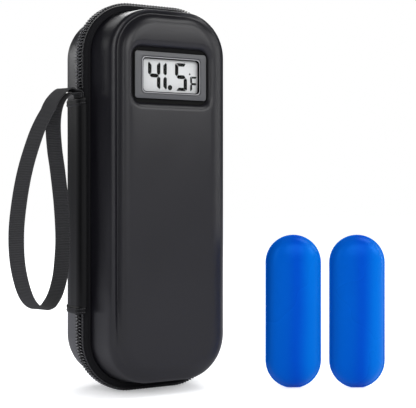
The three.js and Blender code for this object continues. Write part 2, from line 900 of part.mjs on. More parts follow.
addPiece('display_bezel', displayBezel(), 'bezel');
addPiece('display_window', plate(lcdWidth, lcdHeight, windowCornerRadius, housingFront, lensBack), 'clear');
addPiece('lcd_glass', plate(lcdWidth, lcdHeight, windowCornerRadius / 2, lensBack + clearance, lcdBack), 'display');
addPiece(
  'contact_strip',
  block(
    [-windowWidth / 2, lcdBack + clearance, contactHeight - contactStripHeight],
    [windowWidth / 2, contactBack, contactHeight],
  ),
  'rubber',
);
addPiece(
  'circuit_board',
  plate(boardWidth, boardHeight, windowCornerRadius / 2, contactBack + clearance, boardBack),
  'board',
);
addPiece('module_housing', moduleHousing(), 'bezel');
addPiece('button_cell_left', buttonCell(cellPlaces[0]), 'steel');
addPiece('button_cell_right', buttonCell(cellPlaces[1]), 'steel');
addPiece('battery_door', batteryDoor(), 'bezel');
addPiece('unit_button', unitButton(), 'rubber');
addPiece('temperature_sensor', temperatureSensor(), 'steel');

// Net pocket for the gel packs, in the lower half of the lid
const frontCavityInset = frontInnerInset + frontCavityOffset;
const frontCavityFloor = frontFloor + frontCavityOffset;

function packPocket() {
  const sheetBack = frontCavityFloor + pocketDepth;
  const half = halfWidth - frontCavityInset - panelInset * frontWallShares[0][0] - clearance;
  const bottom = frontCavityInset + clearance + pocketFloorGap;
  const radius = ringCornerRadius - frontCavityInset;
  const shape = new THREE.Shape();
  shape.moveTo(half, pocketTop);
  shape.lineTo(-half, pocketTop);
  shape.lineTo(-half, bottom + radius);
  shape.absarc(-half + radius, bottom + radius, radius, Math.PI, Math.PI * 1.5, false);
  shape.absarc(half - radius, bottom + radius, radius, -Math.PI / 2, 0, false);
  shape.closePath();
  const sheet = new THREE.ExtrudeGeometry(shape, {
    depth: pocketSheetThickness,
    bevelEnabled: false,
    curveSegments: cornerSteps,
  });
  sheet.rotateX(Math.PI / 2).translate(0, sheetBack, 0);
  const hem = block(
    [-half, sheetBack - pocketHemThickness, pocketTop - pocketHemHeight],
    [half, sheetBack, pocketTop],
  );
  const floorEdge = panelInset + panelStep + frontCavityOffset + clearance;
  const seam = block(
    [-pocketSeamWidth / 2, frontCavityFloor + clearance, floorEdge],
    [pocketSeamWidth / 2, sheetBack - pocketSheetThickness / 2, pocketTop - pocketHemHeight / 2],
  );
  return join(sheet, hem, seam);
}

addPiece('pack_pocket', packPocket(), 'webbing');

// Elastic pen band: a strip on the rear lining with a row of sewn loops
const rearCavityFloor = rearFloor - rearCavityOffset;

function penBand() {
  const back = rearCavityFloor - clearance;
  const reach = ((penLoopCount - 1) / 2) * penLoopSpacing + penLoopWidth / 2 + penBandThickness;
  const arch = (grow) => {
    const shape = new THREE.Shape();
    const halfLoop = penLoopWidth / 2 + grow;
    shape.moveTo(-halfLoop, grow > 0 ? 0 : penBandThickness);
    shape.lineTo(halfLoop, grow > 0 ? 0 : penBandThickness);
    shape.lineTo(halfLoop, penLoopHeight / 2);
    shape.absellipse(0, penLoopHeight / 2, halfLoop, penLoopHeight / 2 + grow, 0, Math.PI, false);
    shape.closePath();
    return new THREE.ExtrudeGeometry(shape, {
      depth: penBandHeight + (grow > 0 ? 0 : 2 * overrun),
      bevelEnabled: false,
      curveSegments: penLoopSteps,
    }).translate(0, 0, grow > 0 ? 0 : -overrun);
  };
  const loopPlaces = Array.from(
    { length: penLoopCount },
    (_, i) => (i - (penLoopCount - 1) / 2) * penLoopSpacing,
  );
  const strip = block([-reach, 0, 0], [reach, penBandThickness, penBandHeight]);
  const raised = loopPlaces.map((x) => arch(penBandThickness).translate(x, 0, 0));
  const holes = loopPlaces.map((x) => arch(0).translate(x, 0, 0));
  const band = cut(join(strip, ...raised), ...holes);
  return band.rotateZ(Math.PI).translate(0, back, penBandBottom);
}

addPiece('pen_band', penBand(), 'webbing');

// Zip sliders on the right side: an outer plate with a lip behind the chain and a bridge for its pull
const sliderInner = halfWidth + clearance;
const sliderFace = sliderInner + sliderPlateThickness;
const upperSliderHeight = sliderMeetingHeight + (sliderLength + sliderGap) / 2;
const lowerSliderHeight = sliderMeetingHeight - (sliderLength + sliderGap) / 2;

function zipSlider(height) {
  const halfLength = sliderLength / 2;
  const bevel = sliderPlateThickness;
  const outline = (drawIn, x) =>
    roundedRectangle(sliderHalfWidth - drawIn, halfLength - drawIn, bevel, 2).map(
      ([y, z]) => new THREE.Vector3(x, y, z + height),
    );
  const body = loft([
    outline(0, sliderInner),
    outline(0, sliderFace - bevel / 2),
    outline(bevel / 3, sliderFace),
  ]);
  const lipStart = chainHalfWidth + sliderLipGap;
  const lip = block(
    [halfWidth - tapeInset + clearance, lipStart, height - halfLength + bevel],
    [sliderFace - bevel / 2, lipStart + sliderLipThickness, height + halfLength - bevel],
  );
  const bridgeTop = sliderFace + bridgeHeight;
  const bridge = block(
    [sliderFace - bridgeThickness / 2, -bridgeWidth / 2, height - bridgeLength / 2],
    [bridgeTop, bridgeWidth / 2, height + bridgeLength / 2],
  );
  const eye = block(
    [sliderFace, -bridgeWidth, height - bridgeLength / 2 + bridgeThickness],
    [bridgeTop - bridgeThickness, bridgeWidth, height + bridgeLength / 2 - bridgeThickness],
  );
  return join(cut(join(body, lip), eye), cut(bridge, eye));
}

// A pull that hangs from the bridge by a cross bar
const pullPivot = sliderFace + (bridgeHeight - bridgeThickness) / 2;

function zipPull(height) {
  const half = pullWidth / 2;
  const top = pullBarRadius;
  const shape = new THREE.Shape();
  shape.moveTo(half - pullBarRadius, top);
  shape.lineTo(pullBarRadius - half, top);
  shape.lineTo(-half, top - pullBarRadius);
  shape.lineTo(-half, -pullLength + half);
  shape.absarc(0, -pullLength + half, half, Math.PI, 2 * Math.PI, false);
  shape.lineTo(half, top - pullBarRadius);
  shape.closePath();
  const eye = new THREE.Path();
  const eyeHalf = bridgeWidth / 2 + clearance;
  eye.moveTo(-eyeHalf, -pullBarRadius);
  eye.lineTo(eyeHalf, -pullBarRadius);
  eye.lineTo(eyeHalf, -pullEyeLength);
  eye.lineTo(-eyeHalf, -pullEyeLength);
  eye.closePath();
  shape.holes.push(eye);
  const pull = new THREE.ExtrudeGeometry(shape, { depth: pullThickness, bevelEnabled: false, curveSegments: 6 });
  pull.rotateX(Math.PI / 2).rotateZ(Math.PI / 2);
  return pull.translate(pullPivot - pullThickness / 2, 0, height);
}

addPiece('upper_slider', zipSlider(upperSliderHeight), 'sliderMetal');
addPiece('lower_slider', zipSlider(lowerSliderHeight), 'sliderMetal');
addPiece('upper_pull', zipPull(upperSliderHeight), 'sliderMetal');
addPiece('lower_pull', zipPull(lowerSliderHeight), 'sliderMetal');

// Gel packs: welded capsules with a crowned front and back, standing beside the case
const packCrownShares = [
  [0, packRimShare],
  [0.012, 0.2],
  [0.07, 0.58],
  [0.18, 0.84],
  [0.36, 0.96],
  [0.6, 1],
];

function gelPack(place) {
  const radius = packWidth / 2;
  const loop = (drawIn, y) =>
    uprightLoop(radius - drawIn, packHeight / 2 - drawIn, radius - drawIn, y, packHeight / 2, packEndSteps);
  const half = packCrownShares.map(([drawIn, rise]) => [drawIn * radius + (rise > packRimShare ? packSeam : 0), rise]);
  const front = half.map(([drawIn, rise]) => loop(drawIn, (-rise * packThickness) / 2)).reverse();
  const back = half.map(([drawIn, rise]) => loop(drawIn, (rise * packThickness) / 2));
  const pack = loft([...front, ...back]);
  const floorCut = block(
    [-packWidth, -packThickness, -overrun],
    [packWidth, packThickness, packFootCut],
  );
  return cut(pack, floorCut)
    .translate(0, 0, -packFootCut)
    .rotateZ(packTurn)
    .translate(place.x, place.y, 0);
}

addPiece('gel_pack_left', gelPack(leftPackPlace), 'gel');
addPiece('gel_pack_right', gelPack(rightPackPlace), 'gel');

export default group;
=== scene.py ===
import math

import bmesh
import bpy
from mathutils import Matrix, Vector


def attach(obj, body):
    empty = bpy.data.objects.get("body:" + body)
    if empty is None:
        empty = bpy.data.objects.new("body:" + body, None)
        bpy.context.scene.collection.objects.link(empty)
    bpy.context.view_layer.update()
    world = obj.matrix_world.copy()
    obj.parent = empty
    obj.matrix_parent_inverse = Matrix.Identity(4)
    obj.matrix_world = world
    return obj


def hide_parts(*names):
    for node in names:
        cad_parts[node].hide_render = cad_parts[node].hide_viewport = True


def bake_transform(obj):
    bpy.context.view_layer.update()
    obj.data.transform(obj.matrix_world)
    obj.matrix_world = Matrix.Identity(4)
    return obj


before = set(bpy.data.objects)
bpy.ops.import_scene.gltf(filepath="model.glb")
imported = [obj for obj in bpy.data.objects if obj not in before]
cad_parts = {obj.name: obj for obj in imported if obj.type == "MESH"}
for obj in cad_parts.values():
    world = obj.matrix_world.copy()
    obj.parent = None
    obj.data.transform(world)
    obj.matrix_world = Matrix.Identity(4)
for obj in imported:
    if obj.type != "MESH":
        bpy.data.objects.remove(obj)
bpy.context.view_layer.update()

bpy.ops.object.select_all(action="DESELECT")
mm = 0.001


# Camera, where the photo was taken from
camera = {
    "place": (-0.2793, -0.5547, 0.119),
    "turn": -30,
    "pixelsPerUnit": 1026,
    "imageWidth": 416,
    "horizonAboveMiddle": 14,
    "sensor": 36,
}


def makeCamera():
    data = bpy.data.cameras.new("camera")
    data.sensor_width = camera["sensor"]
    data.lens = camera["pixelsPerUnit"] * camera["sensor"] / camera["imageWidth"]
    data.shift_y = -camera["horizonAboveMiddle"] / camera["imageWidth"]
    eye = bpy.data.objects.new("camera", data)
    eye.location = camera["place"]
    eye.rotation_euler = (math.radians(90), 0, math.radians(camera["turn"]))
    bpy.context.scene.collection.objects.link(eye)
    bpy.context.scene.camera = eye


makeCamera()
print("camera placed")


# Small helpers for working by hand in edit mode
def deselectAll():
    bpy.ops.object.select_all(action="DESELECT")


def makeActive(piece):
    deselectAll()
    piece.select_set(True)
    bpy.context.view_layer.objects.active = piece


def editMode(mode="FACE"):
    bpy.ops.object.mode_set(mode="EDIT")
    bpy.ops.mesh.select_mode(type=mode)


def editAll(mode="FACE"):
    editMode(mode)
    bpy.ops.mesh.select_all(action="SELECT")


def objectMode():
    bpy.ops.object.mode_set(mode="OBJECT")


def faceOutwards():
    bpy.ops.mesh.select_all(action="SELECT")
    bpy.ops.mesh.normals_make_consistent(inside=False)
    objectMode()


def applyPlace(piece):
    makeActive(piece)
    bpy.ops.object.transform_apply(location=True, rotation=True, scale=True)


def addModifier(piece, kind, **settings):
    makeActive(piece)
    step = piece.modifiers.new(kind.lower(), kind)
    for key, value in settings.items():
        setattr(step, key, value)
    bpy.ops.object.modifier_apply(modifier=step.name)


def smoothBy(piece, degrees=35):
    makeActive(piece)
    bpy.ops.object.shade_smooth_by_angle(angle=math.radians(degrees))


def joinParts(piece, *parts):
    makeActive(piece)
    for part in parts:
        part.select_set(True)
    bpy.ops.object.join()


def pieceFrom(name, mesh):
    data = bpy.data.meshes.new(name)
    mesh.to_mesh(data)
    mesh.free()
    piece = bpy.data.objects.new(name, data)
    bpy.context.scene.collection.objects.link(piece)
    return piece


# A piece without a body of its own is left where it is made, attached to no body
def finishWith(piece, material, body, replaces=()):
    piece.data.materials.clear()
    piece.data.materials.append(material)
    if body:
        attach(piece, body)
    if replaces:
        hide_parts(*replaces)


def roundedFace(name, size, radius, place, steps, facing):
    # A flat rounded rectangle towards the front (-1) or the rear (1), left in edit mode, selected
    deselectAll()
    turn = math.radians(-90 * facing)
    bpy.ops.mesh.primitive_plane_add(size=1, location=place, rotation=(turn, 0, 0))
    piece = bpy.context.object
    piece.name = name
    piece.scale = (size[0], size[1], 1)
    applyPlace(piece)
    editAll("VERT")
    bpy.ops.mesh.bevel(offset=radius, segments=steps, affect="VERTICES")
    bpy.ops.mesh.select_mode(type="FACE")
    bpy.ops.mesh.select_all(action="SELECT")
    return piece


def stepFace(inward, outward):
    bpy.ops.mesh.inset(thickness=inward, depth=outward, use_boundary=True, use_even_offset=True)


def softenEdge(edge):
    # Two steps that round the edge of a selected flat face
    stepFace(edge * 0.3 * mm, edge * 0.7 * mm)
    stepFace(edge * 0.7 * mm, edge * 0.3 * mm)


def followProfile(profile):
    for (inset, depth), (nextInset, nextDepth) in zip(profile, profile[1:]):
        stepFace((nextInset - inset) * mm, (nextDepth - depth) * mm)


def closeBack():
    bpy.ops.mesh.select_mode(type="EDGE")
    bpy.ops.mesh.select_all(action="DESELECT")
    bpy.ops.mesh.select_non_manifold()
    bpy.ops.mesh.edge_face_add()
    faceOutwards()


def cutWith(piece, *cutters):
    for cutter in cutters:
        addModifier(piece, "BOOLEAN", operation="DIFFERENCE", solver="EXACT", object=cutter)
        bpy.data.objects.remove(cutter)


# Shader helpers
def newMaterial(name, color, roughness, specular=0.5, **sockets):
    material = bpy.data.materials.new(name)
    material.use_nodes = True
    shader = material.node_tree.nodes["Principled BSDF"]
    shader.inputs["Base Color"].default_value = (*color, 1)
    shader.inputs["Roughness"].default_value = roughness
    shader.inputs["Specular IOR Level"].default_value = specular
    for key, value in sockets.items():
        shader.inputs[key].default_value = value
    return material, shader


def addNode(material, kind, **settings):
    node = material.node_tree.nodes.new(kind)
    for key, value in settings.items():
        setattr(node, key, value)
    return node


def joinNodes(material, output, socket):
    material.node_tree.links.new(output, socket)


def newGroup(name, inputs, outputs):
    group = bpy.data.node_groups.new(name, "ShaderNodeTree")
    for label, kind, value in inputs:
        socket = group.interface.new_socket(name=label, in_out="INPUT", socket_type=kind)
        if value is not None:
            socket.default_value = value
    for label, kind in outputs:
        group.interface.new_socket(name=label, in_out="OUTPUT", socket_type=kind)
    return group, group.nodes.new("NodeGroupInput"), group.nodes.new("NodeGroupOutput")


def makeGrainGroup():
    # Pebbled grain with a slow drift of colour: gives a height, a mask and a colour
    group, start, end = newGroup(
        "mouldedGrain",
        [
            ("Vector", "NodeSocketVector", None),
            ("Grain Scale", "NodeSocketFloat", 1400.0),
            ("Drift Scale", "NodeSocketFloat", 18.0),
            ("Color", "NodeSocketColor", (0.02, 0.02, 0.022, 1)),
            ("Drift Color", "NodeSocketColor", (0.03, 0.03, 0.033, 1)),
        ],
        [("Height", "NodeSocketFloat"), ("Drift", "NodeSocketFloat"), ("Color", "NodeSocketColor")],
    )
    cells = group.nodes.new("ShaderNodeTexVoronoi")
    cells.feature = "SMOOTH_F1"
    fine = group.nodes.new("ShaderNodeTexNoise")
    fine.inputs["Detail"].default_value = 3
    drift = group.nodes.new("ShaderNodeTexNoise")
    drift.inputs["Detail"].default_value = 2
    finer = group.nodes.new("ShaderNodeMath")
    finer.operation = "MULTIPLY"
    finer.inputs[1].default_value = 2.3  # the pits are this much finer than the pebbles
    blend = group.nodes.new("ShaderNodeMath")
    blend.operation = "ADD"
    mix = group.nodes.new("ShaderNodeMix")
    mix.data_type = "RGBA"
    links = group.links
    for texture in (cells, fine, drift):
        links.new(start.outputs["Vector"], texture.inputs["Vector"])
    links.new(start.outputs["Grain Scale"], cells.inputs["Scale"])
    links.new(start.outputs["Grain Scale"], finer.inputs[0])
    links.new(finer.outputs[0], fine.inputs["Scale"])
    links.new(start.outputs["Drift Scale"], drift.inputs["Scale"])
    links.new(cells.outputs["Distance"], blend.inputs[0])
    links.new(fine.outputs["Fac"], blend.inputs[1])
    links.new(drift.outputs["Fac"], mix.inputs["Factor"])
    links.new(start.outputs["Color"], mix.inputs["A"])
    links.new(start.outputs["Drift Color"], mix.inputs["B"])
    links.new(blend.outputs[0], end.inputs["Height"])
    links.new(drift.outputs["Fac"], end.inputs["Drift"])
    links.new(mix.outputs["Result"], end.inputs["Color"])
    return group


def makeWeaveGroup():
    # Ribs and threads from two crossed waves: gives their height
    group, start, end = newGroup(
        "wovenThreads",
        [
            ("Vector", "NodeSocketVector", None),
            ("Along", "NodeSocketFloat", 1000.0),
            ("Across", "NodeSocketFloat", 1000.0),
            ("Across Share", "NodeSocketFloat", 0.4),
        ],
        [("Height", "NodeSocketFloat")],
    )
    split = group.nodes.new("ShaderNodeSeparateXYZ")
    group.links.new(start.outputs["Vector"], split.inputs[0])

    def wave(axis, speed):
        scaled = group.nodes.new("ShaderNodeMath")
        scaled.operation = "MULTIPLY"
        group.links.new(split.outputs[axis], scaled.inputs[0])
        group.links.new(start.outputs[speed], scaled.inputs[1])
        sine = group.nodes.new("ShaderNodeMath")
        sine.operation = "SINE"
        group.links.new(scaled.outputs[0], sine.inputs[0])
        return sine.outputs[0]

    share = group.nodes.new("ShaderNodeMath")
    share.operation = "MULTIPLY_ADD"
    group.links.new(wave("X", "Across"), share.inputs[0])
    group.links.new(start.outputs["Across Share"], share.inputs[1])
    group.links.new(wave("Y", "Along"), share.inputs[2])
    group.links.new(share.outputs[0], end.inputs["Height"])
    return group


grainGroup = makeGrainGroup()
weaveGroup = makeWeaveGroup()


def addBump(material, shader, height, strength, distance):
    bump = addNode(material, "ShaderNodeBump")
    bump.inputs["Strength"].default_value = strength
    bump.inputs["Distance"].default_value = distance
    joinNodes(material, height, bump.inputs["Height"])
    joinNodes(material, bump.outputs["Normal"], shader.inputs["Normal"])


roughSpan = 0.06  # how far the grain's drift moves the roughness to each side


def grainMaterial(name, color, drift, roughness, grain=1400, strength=0.25, depth=0.05, **sockets):
    material, shader = newMaterial(name, color, roughness, **sockets)
    place = addNode(material, "ShaderNodeTexCoord")
    group = addNode(material, "ShaderNodeGroup")
    group.node_tree = grainGroup
    group.inputs["Grain Scale"].default_value = grain
    group.inputs["Color"].default_value = (*color, 1)
    group.inputs["Drift Color"].default_value = (*drift, 1)
    joinNodes(material, place.outputs["Object"], group.inputs["Vector"])
    joinNodes(material, group.outputs["Color"], shader.inputs["Base Color"])
    rough = addNode(material, "ShaderNodeMapRange")
    rough.inputs["To Min"].default_value = roughness - roughSpan
    rough.inputs["To Max"].default_value = roughness + roughSpan
    joinNodes(material, group.outputs["Drift"], rough.inputs["Value"])
    joinNodes(material, rough.outputs["Result"], shader.inputs["Roughness"])
    addBump(material, shader, group.outputs["Height"], strength, depth * mm)
    return material


def wovenMaterial(name, color, along, across, share=0.4, strength=0.6, depth=0.12, roughness=0.85, **sockets):
    # A woven finish on the piece's own UV map, which is in metres: x across, y along
    material, shader = newMaterial(name, color, roughness, **sockets)
    place = addNode(material, "ShaderNodeTexCoord")
    group = addNode(material, "ShaderNodeGroup")
    group.node_tree = weaveGroup
    group.inputs["Along"].default_value = 2 * math.pi / (along * mm)
    group.inputs["Across"].default_value = 2 * math.pi / (across * mm)
    group.inputs["Across Share"].default_value = share
    joinNodes(material, place.outputs["UV"], group.inputs["Vector"])
    # The threads' colour follows their height: painted shade between them and a painted highlight on their
    # tops
    shade = addNode(material, "ShaderNodeMix", data_type="RGBA")
    shade.inputs["A"].default_value = (*[c * 0.55 for c in color], 1)  # painted shade between the threads
    shade.inputs["B"].default_value = (*[c * 1.5 for c in color], 1)  # painted highlight on top of them
    lift = addNode(material, "ShaderNodeMapRange")
    lift.inputs["From Min"].default_value = -1
    lift.inputs["From Max"].default_value = 1
    joinNodes(material, group.outputs["Height"], lift.inputs["Value"])
    joinNodes(material, lift.outputs["Result"], shade.inputs["Factor"])
    joinNodes(material, shade.outputs["Result"], shader.inputs["Base Color"])
    addBump(material, shader, group.outputs["Height"], strength, depth * mm)
    return material


# Each grained finish has a colour, the colour that it drifts to, and a roughness
leatherette = grainMaterial(
    "leatherette", (0.0042, 0.004, 0.006), (0.006, 0.0056, 0.0082), 0.37, grain=1000, strength=0.3
)
# Darker and duller than the leatherette: painted shade for the floor of the dish round the display
paintedShadeLeatherette = grainMaterial(
    "paintedShadeLeatherette", (0.002, 0.002, 0.002), (0.003, 0.003, 0.003), 0.7, strength=0.2, specular=0.15
)
spineLeatherette = grainMaterial(
    "spineLeatherette", (0.003, 0.003, 0.0035), (0.005, 0.005, 0.0055), 0.42, grain=1100, specular=0.14
)
coilPlastic = grainMaterial(
    "coilPlastic", (0.016, 0.016, 0.017), (0.024, 0.024, 0.026), 0.26, grain=900, strength=0.1
)
bezelPlastic = grainMaterial(
    "bezelPlastic", (0.055, 0.056, 0.06), (0.066, 0.067, 0.072), 0.42, grain=2600, strength=0.1
)
# Light grey plastic for the lip round the display: a painted highlight
paintedHighlightRim = grainMaterial("paintedHighlightRim", (0.2, 0.2, 0.21), (0.24, 0.24, 0.25), 0.3, grain=2600, strength=0.05)
displayGlass = grainMaterial(
    "displayGlass", (0.475, 0.48, 0.485), (0.5, 0.505, 0.51), 0.35, grain=3000, strength=0.02
)
# Black ink for the digits, also used on the wall inside the window as painted shade
inkAndPaintedShade = grainMaterial(
    "inkAndPaintedShade", (0.0015, 0.0015, 0.0015), (0.0025, 0.0025, 0.0025), 0.6, grain=3000, strength=0.02, specular=0
)
foamBoard = grainMaterial(
    "foamBoard", (0.62, 0.62, 0.6), (0.7, 0.7, 0.68), 0.9, grain=1100, strength=0.5, depth=0.15
)
sliderEnamel = grainMaterial(
    "sliderEnamel", (0.02, 0.02, 0.022), (0.03, 0.03, 0.033), 0.33, grain=1800, strength=0.08
)
rubberKey = grainMaterial(
    "rubberKey", (0.03, 0.03, 0.033), (0.04, 0.04, 0.043), 0.6, grain=1800, strength=0.2
)
cellSteel = grainMaterial(
    "cellSteel", (0.6, 0.6, 0.62), (0.68, 0.68, 0.69), 0.28, grain=1500, strength=0.06, Metallic=1.0
)
boardResin = grainMaterial(
    "boardResin", (0.015, 0.12, 0.04), (0.02, 0.15, 0.055), 0.5, grain=900, strength=0.15
)
liningFoil = grainMaterial(
    "liningFoil", (0.55, 0.56, 0.58), (0.62, 0.63, 0.65), 0.36, grain=420, strength=0.35, depth=0.2,
    Metallic=0.6,
)
netYarn = grainMaterial("netYarn", (0.02, 0.02, 0.022), (0.03, 0.03, 0.032), 0.8, grain=1500, strength=0.4)
stitchThread = grainMaterial(
    "stitchThread", (0.02, 0.02, 0.022), (0.034, 0.034, 0.037), 0.6, grain=2500, strength=0.4
)

# Each woven finish has a colour, and the pitch of its ribs along and across, in millimetres
zipFabric = wovenMaterial(
    "zipFabric", (0.006, 0.006, 0.007), 0.7, 0.7, share=1.0, strength=0.5, depth=0.08, specular=0.1
)
strapWebbing = wovenMaterial(
    "strapWebbing", (0.02, 0.02, 0.022), 0.95, 0.5, share=0.2, strength=0.75, depth=0.16
)
elasticBand = wovenMaterial("elasticBand", (0.02, 0.02, 0.022), 2.0, 0.6, share=0.3, strength=0.7, depth=0.2)

clearWindow, _ = newMaterial("clearWindow", (0.3, 0.31, 0.3), 0.08, Alpha=0.02)

# Blue film over gel, with painted shade and painted highlight in bands across it: each band has a place
# across the pack, from left to right, and a colour
gelFilm = {
    "color": (0, 0.07, 0.42), "gloss": (0.03, 0.3, 1, 1), "cloud": 22, "wander": 0.16,
    "paintedLightBands": [
        (0.05, (0, 0.062, 0.36)), (0.2, (0, 0.078, 0.43)), (0.42, (0, 0.068, 0.41)),
        (0.54, (0, 0.046, 0.4)), (0.64, (0, 0.056, 0.42)), (0.78, (0, 0.112, 0.5)),
        (0.97, (0, 0.125, 0.53)), (1, (0, 0.05, 0.36)),
    ],
}


def makeGelMaterial():
    color = gelFilm["color"]
    material = grainMaterial("gelPlastic", color, color, 0.27, grain=260, strength=0.12, depth=0.12)
    shader = material.node_tree.nodes["Principled BSDF"]
    shader.inputs["Specular Tint"].default_value = gelFilm["gloss"]
    across = addNode(material, "ShaderNodeAttribute", attribute_name="across")
    place = addNode(material, "ShaderNodeTexCoord")
    cloud = addNode(material, "ShaderNodeTexNoise")
    cloud.inputs["Scale"].default_value = gelFilm["cloud"]
    cloud.inputs["Detail"].default_value = 0
    joinNodes(material, place.outputs["Object"], cloud.inputs["Vector"])
    wander = addNode(material, "ShaderNodeMath", operation="MULTIPLY_ADD")
    wander.inputs[1].default_value = gelFilm["wander"]
    joinNodes(material, cloud.outputs["Fac"], wander.inputs[0])
    joinNodes(material, across.outputs["Fac"], wander.inputs[2])
    # The ramp paints the shade and highlight bands across the pack
    ramp = addNode(material, "ShaderNodeValToRGB")
    ramp.color_ramp.interpolation = "B_SPLINE"
    paintedLightBands = ramp.color_ramp.elements
    for number, (at, color) in enumerate(gelFilm["paintedLightBands"]):
        band = paintedLightBands[number] if number < 2 else paintedLightBands.new(at)
        band.position = at
        band.color = (*color, 1)
    joinNodes(material, wander.outputs[0], ramp.inputs["Fac"])
    joinNodes(material, ramp.outputs["Color"], shader.inputs["Base Color"])
    return material


gelPlastic = makeGelMaterial()
print("materials made")


# The zip ring and the shells, in millimetres: each profile entry is an inset from the ring and a depth
ring = {"width": 93, "height": 230, "radius": 32, "steps": 22, "along": 20}
frontShell = {
    "profile": [
        (2.7, 0.4), (2.7, 4.2), (3.0, 4.85), (3.5, 5.2), (5.45, 5.2), (5.6, 5.4), (5.75, 6.7), (6.35, 10),
        (6.9, 13), (7.5, 16.2), (8.0, 19.2), (8.45, 22.0), (8.8, 23.6), (9.15, 24.9), (9.65, 25.9),
        (10.2, 26.45), (10.9, 26.7), (11.6, 26.6), (12.2, 26.2), (12.8, 25.7), (13.3, 25.35),
        (13.8, 25.35), (14.3, 25.9), (14.9, 26.85), (15.5, 27.7), (16.2, 28.4), (17.0, 29.0),
        (18.0, 29.5), (19.2, 29.85), (20.7, 30.0),
    ],
    "plain": [
        (8.8, 23.6), (9.15, 24.4), (9.65, 25.2), (10.2, 25.9), (10.9, 26.55), (11.6, 27.1), (12.2, 27.5),
        (12.8, 27.85), (13.8, 28.3), (14.9, 28.72), (16.2, 29.15), (17.0, 29.37), (18.0, 29.62),
        (19.2, 29.87), (20.7, 30.0),
    ],
    "fadeAcross": (34, 0), "fadeUp": (12, 56), "leanFrom": 5.6, "leanTo": 12, "leanEased": 0.4,
    "inside": [
        (7.7, 0.4), (7.75, 4), (8.1, 8), (8.58, 13.2), (9.4, 17), (10.33, 20.6), (13.56, 23.76), (17.2, 26.4),
    ],
    "rise": 4.4, "drop": 2.9, "growth": 4.6,  # how the lean moves the top, the bottom and the corners' radius
}
rearShell = {
    "profile": [
        (2.7, 0.4), (2.7, 4.2), (3.0, 4.85), (3.4, 5.2), (3.75, 5.2), (3.9, 5.45), (4.1, 10), (4.5, 18),
        (4.8, 25.5), (5.0, 27.4), (5.6, 29.4), (6.6, 31.2), (8.1, 32.7), (10.0, 33.6), (12.2, 33.95),
        (13.6, 34.0),
    ],
    "inside": [(6.1, 0.4), (6.4, 12), (7.0, 26.0), (7.75, 28.8), (9.8, 30.85), (12.6, 31.6)],
}
dish = {
    "size": (55, 38), "radius": 8.5, "height": 185.1, "panel": 30, "paintedShadeBand": 0.9,
    "profile": [
        (-1.5, -0.9), (-1.4, -0.01), (-0.6, 0.06), (0.2, 0.22), (0.9, 0.5), (1.5, 0.9), (2.0, 1.4),
        (2.4, 1.95), (2.75, 2.5), (3.0, 2.9), (3.3, 3.05),
    ],
}
moduleHole = {"size": (44.6, 25.2), "radius": 2.4, "overrun": 5, "through": 30}


def cornerArcs(halfX, halfZ, radius, middle, depth, steps):
    # The corners of a rounded rectangle about a height, one arc of places for each
    arcs = []
    for corner, (sideX, sideZ) in enumerate(((1, 1), (-1, 1), (-1, -1), (1, -1))):
        arcs.append([])
        for step in range(steps + 1):
            angle = (corner + step / steps) * math.pi / 2
            x = sideX * (halfX - radius) + radius * math.cos(angle)
            z = sideZ * (halfZ - radius) + radius * math.sin(angle)
            arcs[-1].append(Vector((x, -depth, middle + z)))
    return arcs


def roundedLoop(halfX, halfZ, radius, middle, depth):
    # A rounded rectangle with even points along its straight sides
    arcs = cornerArcs(halfX, halfZ, radius, middle, depth, ring["steps"])
    loop = []
    for arc, after in zip(arcs, arcs[1:] + arcs[:1]):
        loop += arc
        loop += [arc[-1].lerp(after[0], step / ring["along"]) for step in range(1, ring["along"])]
    return loop


def ringLoop(inset, depth):
    # The ring drawn in, at a distance in front of the parting plane
    halfX, halfZ = ring["width"] / 2 - inset, ring["height"] / 2 - inset
    return roundedLoop(halfX, halfZ, ring["radius"] - inset, ring["height"] / 2, depth)


def easedShare(value, start, end):
    share = max(0, min(1, (value - start) / (end - start)))
    return share * share * (3 - 2 * share)


def plainDepth(inset, depth):
    # The depth of the front shell where its crest has faded out
    plain = frontShell["plain"]
    if inset <= plain[0][0]:
        return depth
    for (near, low), (far, high) in zip(plain, plain[1:]):
        if inset <= far + 1e-6:
            return low + (high - low) * (inset - near) / (far - near)
    return plain[-1][1]


def frontLoop(inset, depth):
    # The front shell leans less at its ends, and its crest fades towards the right and the bottom
    start, end, eased = frontShell["leanFrom"], frontShell["leanTo"], frontShell["leanEased"]
    straight = max(0, min(1, (inset - start) / (end - start)))
    lean = easedShare(inset, start, end) * eased + straight * (1 - eased)
    rise, drop = frontShell["rise"] * lean, frontShell["drop"] * lean
    halfX, halfZ = ring["width"] / 2 - inset, ring["height"] / 2 - inset + (rise + drop) / 2
    radius = ring["radius"] - inset + frontShell["growth"] * lean
    loop = roundedLoop(halfX, halfZ, radius, (ring["height"] + rise - drop) / 2, depth)
    for place in loop:
        crest = easedShare(place.x, *frontShell["fadeAcross"]) * easedShare(place.z, *frontShell["fadeUp"])
        place.y = -(depth * crest + plainDepth(inset, depth) * (1 - crest))
    return loop


def loftLoops(name, loops, ringShaped=False):
    # A closed skin through loops of places in millimetres, all with the same count
    mesh = bmesh.new()
    rows = [[mesh.verts.new(Vector(p) * mm) for p in loop] for loop in loops]
    count = len(loops[0])
    if ringShaped:
        rows.append(rows[0])
    for near, far in zip(rows, rows[1:]):
        for i in range(count):
            j = (i + 1) % count
            mesh.faces.new((near[i], near[j], far[j], far[i]))
    if not ringShaped:
        mesh.faces.new(rows[0])
        mesh.faces.new(reversed(rows[-1]))
    bmesh.ops.recalc_face_normals(mesh, faces=mesh.faces)
    return pieceFrom(name, mesh)


